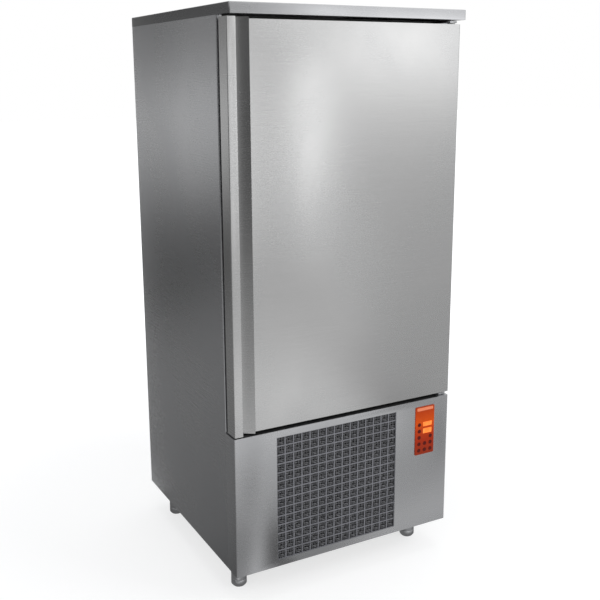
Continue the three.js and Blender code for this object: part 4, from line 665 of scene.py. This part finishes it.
def fan_guards():
    """Wire guard over each opening in the evaporator's cover."""
    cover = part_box("evaporator_fan_cover")[0]
    for i in (1, 2, 3):
        low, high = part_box(f"evaporator_fan_{i}")
        centre = (low + high) / 2
        form = bmesh.new()

        def out_at(radius, angle, y):
            return (centre.x + radius * math.cos(angle), y, centre.z + radius * math.sin(angle))

        for ring in range(GUARD_RINGS):
            radius = GUARD_FIRST_RADIUS + GUARD_PITCH * ring
            y = cover.y - GUARD_STAND + GUARD_DISH * (ring / (GUARD_RINGS - 1)) ** 4
            points = [out_at(radius, a, y) for a in around(GUARD_STEPS)]
            wire(form, points, GUARD_WIRE, WIRE_SIDES, closed=True)
        for arm in around(ARMS):
            points = []
            for k in range(ARM_POINTS):
                bent = max(0, (k - (ARM_POINTS - 1 - ARM_BENT_POINTS)) / ARM_BENT_POINTS)
                radius = ARM_START + ARM_LENGTH * k / (ARM_POINTS - 1)
                points.append(out_at(radius, math.pi / 4 + arm, cover.y - ARM_STAND + ARM_BEND * bent))
            wire(form, points, ARM_WIRE, WIRE_SIDES)
        place(f"evaporator_fan_guard_{i}", form, "inner_steel", "cabinet")


# ---- screws -----------------------------------------------------------------------------

SCREW_RADIUS = 0.0042
# part of the head's radius, and height over the sheet: a low dome with a round recess in its middle
SCREW_PROFILE = [(1, 0.0), (1, 0.0006), (0.86, 0.0016), (0.5, 0.0021), (0.34, 0.0021), (0.3, 0.0012)]
SCREW_RECESS = 0.0011
SCREW_SEGMENTS = 16
BACK_SIDE_SCREWS = 7
BACK_SIDE_INSET = 0.012
BACK_SIDE_MARGIN = 0.03  # from the panel's ends to the first and the last screw of a side
BACK_ROW_PLACES = (-0.2, 0.0, 0.2)
BACK_ROW_INSET = 0.014
COVER_SIDE_SCREWS = 5
COVER_SCREWS_X = 0.256  # to either side of the middle
COVER_SIDE_MARGIN = 0.02


def screw(form, centre, outward):
    """A low domed screw head with a round recess, its back at centre."""
    profile = [(SCREW_RADIUS * part, height) for part, height in SCREW_PROFILE]
    lathe(form, profile + [(AXIS_RADIUS, SCREW_RECESS)], centre, outward, SCREW_SEGMENTS)


def screws():
    """Screws down the sides and along the ends of the back panel, and down the sides of the fans' cover."""
    form = bmesh.new()
    low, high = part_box("back_panel")
    for x in (low.x + BACK_SIDE_INSET, high.x - BACK_SIDE_INSET):
        for z in between(low.z + BACK_SIDE_MARGIN, high.z - BACK_SIDE_MARGIN, BACK_SIDE_SCREWS):
            screw(form, (x, high.y, z), (0, 1, 0))
    for x in BACK_ROW_PLACES:
        for z in (low.z + BACK_ROW_INSET, high.z - BACK_ROW_INSET):
            screw(form, (x, high.y, z), (0, 1, 0))
    place("back_panel_screws", form, "cabinet_steel", "cabinet")
    form = bmesh.new()
    low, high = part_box("evaporator_fan_cover")
    for x in (-COVER_SCREWS_X, COVER_SCREWS_X):
        for z in between(low.z + COVER_SIDE_MARGIN, high.z - COVER_SIDE_MARGIN, COVER_SIDE_SCREWS):
            screw(form, (x, low.y, z), (0, -1, 0))
    place("fan_cover_screws", form, "inner_steel", "cabinet")


# ---- round feet and keys ----------------------------------------------------------------

FOOT_SOLE = 0.0192
FOOT_PAD = 0.0253
FOOT_PAD_TOP = 0.026
FOOT_STEM = 0.012
FOOT_STEM_TOP = 0.076
FOOT_SEGMENTS = 40
# radius and height: a sole that widens to the pad, and a stem on it, with every edge a little broken
FOOT_PROFILE = [(AXIS_RADIUS, 0), (FOOT_SOLE - 0.001, 0), (FOOT_SOLE, 0.0008),
                (FOOT_PAD - 0.0005, 0.0074), (FOOT_PAD, 0.0086), (FOOT_PAD, FOOT_PAD_TOP - 0.0008),
                (FOOT_PAD - 0.0007, FOOT_PAD_TOP), (FOOT_STEM, FOOT_PAD_TOP),
                (FOOT_STEM, FOOT_STEM_TOP - 0.0005), (FOOT_STEM - 0.0005, FOOT_STEM_TOP),
                (AXIS_RADIUS, FOOT_STEM_TOP)]
KEY_FLANGE = 0.0012
KEY_FLANGE_DEPTH = 0.0028  # from the key's face back to its flange
# in from the cap's side, and back from the key's face
KEY_FACE = [(0, 0.0005), (0.0004, 0.0001), (0.0014, 0), (0.0030, 0.0002)]
KEY_HOLLOW = 0.0003
KEY_SEGMENTS = 28


def smooth_feet():
    """Round feet of many facets in place of the plain ones, on the same radii and heights."""
    for corner in ("front_left", "front_right", "back_left", "back_right"):
        node = f"foot_adjuster_{corner}"
        low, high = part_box(node)
        centre = ((low.x + high.x) / 2, (low.y + high.y) / 2, 0)
        form = bmesh.new()
        lathe(form, FOOT_PROFILE, centre, (0, 0, 1), FOOT_SEGMENTS)
        piece = place(node + "_turned", form, "cabinet_steel", node)
        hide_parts(node)


def smooth_keys():
    """Round keys with a flange and a softly edged, slightly hollow face, in place of the plain ones."""
    for node in SLOT_OF:
        if not node.startswith("key_"):
            continue
        low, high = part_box(node)
        centre = ((low.x + high.x) / 2, high.y, (low.z + high.z) / 2)
        length = high.y - low.y
        wide = (high.x - low.x) / 2
        cap = wide - KEY_FLANGE
        flange = length - KEY_FLANGE_DEPTH
        profile = [(AXIS_RADIUS, 0), (wide, 0), (wide, flange), (cap, flange)]
        profile += [(cap - inwards, length - back) for inwards, back in KEY_FACE]
        profile.append((AXIS_RADIUS, length - KEY_HOLLOW))
        form = bmesh.new()
        lathe(form, profile, centre, (0, -1, 0), KEY_SEGMENTS)
        piece = place(node + "_cap", form, "key_plastic", node)
        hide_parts(node)


# ---- bare strip on the control panel ----------------------------------------------------

STRIP_SIDE = 0.006  # from the panel's sides
STRIP_TOP = 0.0035  # from the panel's upper edge
STRIP_HEIGHT = 0.0105
STRIP_CORNER = 0.002
STRIP_BACK = 0.0001  # in front of the panel's face
STRIP_FRONT = 0.0007
STRIP_CORNER_POINTS = 5


def panel_strip():
    """Plain pale strip at the head of the control panel, with nothing on it, which the windows' material
    gives a painted glow.
    """
    low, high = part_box("control_panel")
    left, right = low.x + STRIP_SIDE + STRIP_CORNER, high.x - STRIP_SIDE - STRIP_CORNER
    top = high.z - STRIP_TOP - STRIP_CORNER
    bottom = high.z - STRIP_TOP - STRIP_HEIGHT + STRIP_CORNER
    outline = []
    for cx, cz, start in ((right, top, 0), (left, top, 90), (left, bottom, 180), (right, bottom, 270)):
        for a in between(math.radians(start), math.radians(start + 90), STRIP_CORNER_POINTS):
            outline.append((cx + STRIP_CORNER * math.cos(a), cz + STRIP_CORNER * math.sin(a)))
    form = bmesh.new()
    skin(form, [ring_of(form, [(x, y, z) for x, z in outline])
                for y in (low.y - STRIP_BACK, low.y - STRIP_FRONT)])
    place("panel_strip", form, "display_glass", "cabinet")


grille_weave()
door_gap_shade_strip()
fan_guards()
screws()
smooth_feet()
smooth_keys()
panel_strip()

# ---- floor, world and lamps -------------------------------------------------------------

FLOOR_REACH = 30
FLOOR_NEAR = (0.9, 0.68)  # distance from the object's middle, and the strength of the floor's glow there
FLOOR_FAR = (3.2, 1.0)
FLOOR_LIT = (0.42, 0.42, 0.42)  # the floor's own colour under its glow, which takes the object's shadow
FLOOR_COLOUR = (0.8, 0.8, 0.8)  # the floor as it lights the object
WORLD_COLOUR = (0.94, 0.97, 1.0)  # the world as it lights the object
WORLD_STRENGTH = 0.55
WHITE = (1, 1, 1)
OBJECT_MIDDLE = (0, 0, 0.9)


def empty_material(name):
    """A material with only its coordinates yet, and its tree."""
    material = new_material(name)
    material.node_tree.nodes.clear()
    tree = Nodes(material.node_tree)
    tree.locate()
    return material, tree


def surface(tree, kind, shader):
    """Finish a tree with an output node that shows the shader."""
    tree.link(shader, tree.add(kind).inputs["Surface"])


def stage_sheet(name, corners, material):
    """A flat sheet that belongs to the studio and not to the object."""
    mesh = bpy.data.meshes.new(name)
    mesh.from_pydata(corners, [], [(0, 1, 2, 3)])
    mesh.materials.append(material)
    thing = bpy.data.objects.new(name, mesh)
    bpy.context.scene.collection.objects.link(thing)
    return thing


def floor():
    """Seen as white, with less glow near the object so that its shadow shows; a pale grey to the light."""
    material, tree = empty_material("floor_white")
    away = tree.add("ShaderNodeVectorMath", operation="LENGTH")
    tree.link(tree.coordinates, away.inputs[0])
    (near, near_level), (far, far_level) = FLOOR_NEAR, FLOOR_FAR
    level = tree.ranged(away.outputs["Value"], near, far, near_level, far_level, smooth=True)
    glowing = tree.add("ShaderNodeAddShader")
    tree.link(tree.shader_of("ShaderNodeBsdfDiffuse", "Color", FLOOR_LIT), glowing.inputs[0])
    tree.link(tree.shader_of("ShaderNodeEmission", "Strength", level), glowing.inputs[1])
    plain = tree.shader_of("ShaderNodeBsdfDiffuse", "Color", FLOOR_COLOUR)
    surface(tree, "ShaderNodeOutputMaterial",
            tree.either_shader(tree.seen_as_image(), plain, glowing.outputs[0]))
    r = FLOOR_REACH
    stage_sheet("floor", [(-r, -r, 0), (r, -r, 0), (r, r, 0), (-r, r, 0)], material)


def world():
    """White where it is seen, also mirrored or through glass, and dimmer as a light."""
    data = bpy.data.worlds.new("studio")
    bpy.context.scene.world = data
    data.use_nodes = True
    tree = Nodes(data.node_tree)
    data.node_tree.nodes.clear()
    dim = tree.add("ShaderNodeBackground")
    tree.fill(dim.inputs["Color"], WORLD_COLOUR)
    tree.fill(dim.inputs["Strength"], WORLD_STRENGTH)
    white = tree.shader_of("ShaderNodeBackground", "Color", WHITE)
    surface(tree, "ShaderNodeOutputWorld", tree.either_shader(tree.seen_as_image(), dim.outputs[0], white))


def lamp(name, place_at, target, side, power):
    """A square lamp that lights the object and isn't seen in polished surfaces."""
    data = bpy.data.lights.new(name, "AREA")
    data.shape = "SQUARE"
    data.size = side
    data.energy = power
    thing = bpy.data.objects.new(name, data)
    thing.location = place_at
    thing.rotation_mode = "QUATERNION"
    thing.rotation_quaternion = (Vector(target) - Vector(place_at)).to_track_quat("-Z", "Y")
    thing.visible_glossy = False
    bpy.context.scene.collection.objects.link(thing)


# ---- cards: glowing sheets that only polished surfaces see ------------------------------

CARD_TOP = 2.6
CARD_LIFT = 0.002  # of a card that lies on the floor
FRONT_CARDS = -1.7  # Y of the cards that stand in front of the object
BACK_CARD = 0.95  # Y of the card that stands behind it
LEFT_END = -3.4  # X where the cards end at the left
SIDE_LINE = -0.42  # just left of the object, where the cards for its left side end
SIDE_DIMMING = (0.95, 0.72)  # of the side card towards the object, below and above this height:
SIDE_DIMMING_CHANGES = 1
DOOR_LINE = -0.3  # just behind the object's front, where the cards on the floor meet


def standing(y, left, right, top=CARD_TOP):
    """Corners of an upright card across the view from the front."""
    return [(left, y, 0), (right, y, 0), (right, y, top), (left, y, top)]


def sideways(x, front, back):
    """Corners of an upright card that faces the object from one side."""
    return [(x, front, 0), (x, back, 0), (x, back, CARD_TOP), (x, front, CARD_TOP)]


def lying(left, right, front, back):
    """Corners of a card that lies on the floor."""
    return [(left, front, CARD_LIFT), (right, front, CARD_LIFT), (right, back, CARD_LIFT),
            (left, back, CARD_LIFT)]


def card(name, corners, axis, levels, right_levels=None, blend=None, strips=(), slant=0.0):
    """A glowing studio card that only polished surfaces see.

    Its level follows one axis, by stops of (place, level). Where right_levels are given, they take over
    from levels to the right of the blend, which is a pair of places in X. Each strip adds a soft band
    along the axis: its middle and half width in X and its level at the middle, then the places where
    it starts, is full, fades and ends. With a slant, X is read along lines that lean with Y, which are
    upright in the mirror image.
    """
    material, tree = empty_material(name)
    along = tree.part(axis)
    place_x = tree.part("X")
    if slant:
        place_x = tree.math("ADD", place_x, tree.math("MULTIPLY", tree.part("Y"), slant))

    def profile(stops):
        low, high = stops[0][0], stops[-1][0]
        peak = max(level for _, level in stops)
        greys = [((at - low) / (high - low), (level / peak,) * 3) for at, level in stops]
        colour = tree.ramp(tree.ranged(along, low, high, 0, 1), *greys, interpolation="B_SPLINE")
        return tree.math("MULTIPLY", colour, peak)

    total = profile(levels)
    if right_levels:
        to_left = tree.ranged(place_x, *blend, 1, 0, smooth=True)
        to_right = tree.ranged(place_x, *blend, 0, 1, smooth=True)
        total = tree.math("ADD", tree.math("MULTIPLY", total, to_left),
                          tree.math("MULTIPLY", profile(right_levels), to_right))
    for middle, half, peak, start, full, fade, end in strips:
        off = tree.math("ABSOLUTE", tree.math("SUBTRACT", place_x, middle))
        band = tree.ranged(off, 0, half, peak, 0, smooth=True)
        length = tree.math("MULTIPLY", tree.ranged(along, start, full, 0, 1, smooth=True),
                           tree.ranged(along, fade, end, 1, 0, smooth=True))
        total = tree.math("ADD", total, tree.math("MULTIPLY", band, length))
    level = tree.math("MAXIMUM", total, 0.0)
    surface(tree, "ShaderNodeOutputMaterial", tree.shader_of("ShaderNodeEmission", "Strength", level))

    thing = stage_sheet(name, corners, material)
    thing.visible_camera = False
    thing.visible_diffuse = False
    thing.visible_shadow = False
    thing.visible_transmission = False
    thing.visible_volume_scatter = False


def front_cards():
    """Seen in the door and the cap: brighter towards the top right, and dark at the left for the channel."""
    left = [(0.0, 0.40), (0.45, 0.30), (0.7, 0.2), (0.95, 0.12), (1.36, 0.09), (2.6, 0.12)]
    middle = [(0.0, 1.15), (0.22, 0.76), (0.45, 0.62), (0.67, 0.55), (0.9, 0.53), (1.13, 0.55),
              (1.36, 0.63), (1.6, 0.60), (1.85, 0.48), (2.6, 0.5)]
    right = [(0.0, 0.46), (0.22, 0.46), (0.45, 0.50), (0.67, 0.52), (0.9, 0.54), (1.13, 0.59),
             (1.36, 0.76), (1.58, 0.98), (1.8, 1.95), (1.92, 1.15), (2.6, 0.9)]
    meet = -0.2
    card("front_card_left", standing(FRONT_CARDS, LEFT_END, meet), "Z", left, middle, (-0.85, -0.4))
    card("front_card_right", standing(FRONT_CARDS, meet, 4.4), "Z", middle, right, (0.56, 1.15), [
        (0.69, 0.12, 2.3, 0.6, 1.25, 1.55, 1.82),
        (0.2, 0.15, 0.95, 0.65, 1.15, 1.6, 2.0),
        (0.55, 0.35, 1.0, 1.8, 1.9, 2.3, 2.6),
        (1.02, 0.28, 0.2, 0.15, 0.45, 0.75, 1.05),
    ])


def side_card():
    """Behind the object to its left: seen in the left side panel."""
    levels = [(0.0, 0.20), (0.25, 0.22), (0.5, 0.2), (0.72, 0.1), (0.95, 0.13), (1.15, 0.33), (1.42, 0.68),
              (1.62, 0.42), (1.8, 0.26), (2.4, 0.2)]
    dimmed = [(at, level * SIDE_DIMMING[at >= SIDE_DIMMING_CHANGES]) for at, level in levels]
    card("side_card", standing(BACK_CARD, LEFT_END, SIDE_LINE, 2.4), "Z", levels, dimmed, (-0.98, -0.55))


def floor_cards():
    """On the floor, seen in the door and lower panel, in the left side, and in the base."""
    left = [(-1.7, 0.82), (-1.4, 0.62), (-0.96, 0.42), (-0.74, 0.18), (-0.56, 0.36), (-0.3, 0.3)]
    right = [(-1.7, 0.52), (-1.4, 0.5), (-0.96, 0.35), (-0.7, 0.50), (-0.56, 0.60), (-0.3, 0.3)]
    card("front_floor_card", lying(LEFT_END, 2.6, FRONT_CARDS, DOOR_LINE), "Y", left, right, (-0.3, 0.05), [
        (-0.53, 0.045, 0.45, -1.8, -1.7, -0.3, -0.2),
        (-0.63, 0.09, -0.9, -1.8, -1.7, -1.2, -0.95),
        (-0.43, 0.07, -0.3, -0.9, -0.72, -0.58, -0.46),
        (0.52, 0.25, -0.2, -1.8, -1.7, -1.1, -0.85),
        (0.1, 0.32, 0.55, -1.9, -1.8, -1.5, -1.2),
    ], slant=0.467)
    card("side_floor_card", lying(LEFT_END, SIDE_LINE, DOOR_LINE, BACK_CARD), "Y",
         [(-0.3, 0.09), (0.1, 0.17), (0.95, 0.2)])
    card("under_card", lying(SIDE_LINE, 0.6, DOOR_LINE, 0.5), "Y", [(-0.3, 0.22), (0.5, 0.12)])


def end_cards():
    """To the left and right: seen in the right side panel and in the edges that turn towards either."""
    card("left_card", sideways(LEFT_END, FRONT_CARDS, BACK_CARD), "Z", [(0.0, 0.25), (2.6, 0.25)])
    card("right_card", sideways(2.5, -1.9, 3.0), "Z",
         [(0.0, 0.45), (0.5, 0.42), (1.0, 0.5), (1.5, 0.66), (2.0, 0.6), (2.6, 0.5)])


floor()
world()
lamp("key", (2.6, -3.0, 3.0), OBJECT_MIDDLE, 2.4, 70)
lamp("fill", (-3.2, -2.2, 2.2), OBJECT_MIDDLE, 2.4, 28)
lamp("top", (0, 0.2, 4.4), (0, 0, 0), 3.0, 40)
front_cards()
side_card()
floor_cards()
end_cards()

scene = bpy.context.scene
scene.view_settings.view_transform = "Standard"

bpy.context.view_layer.update()
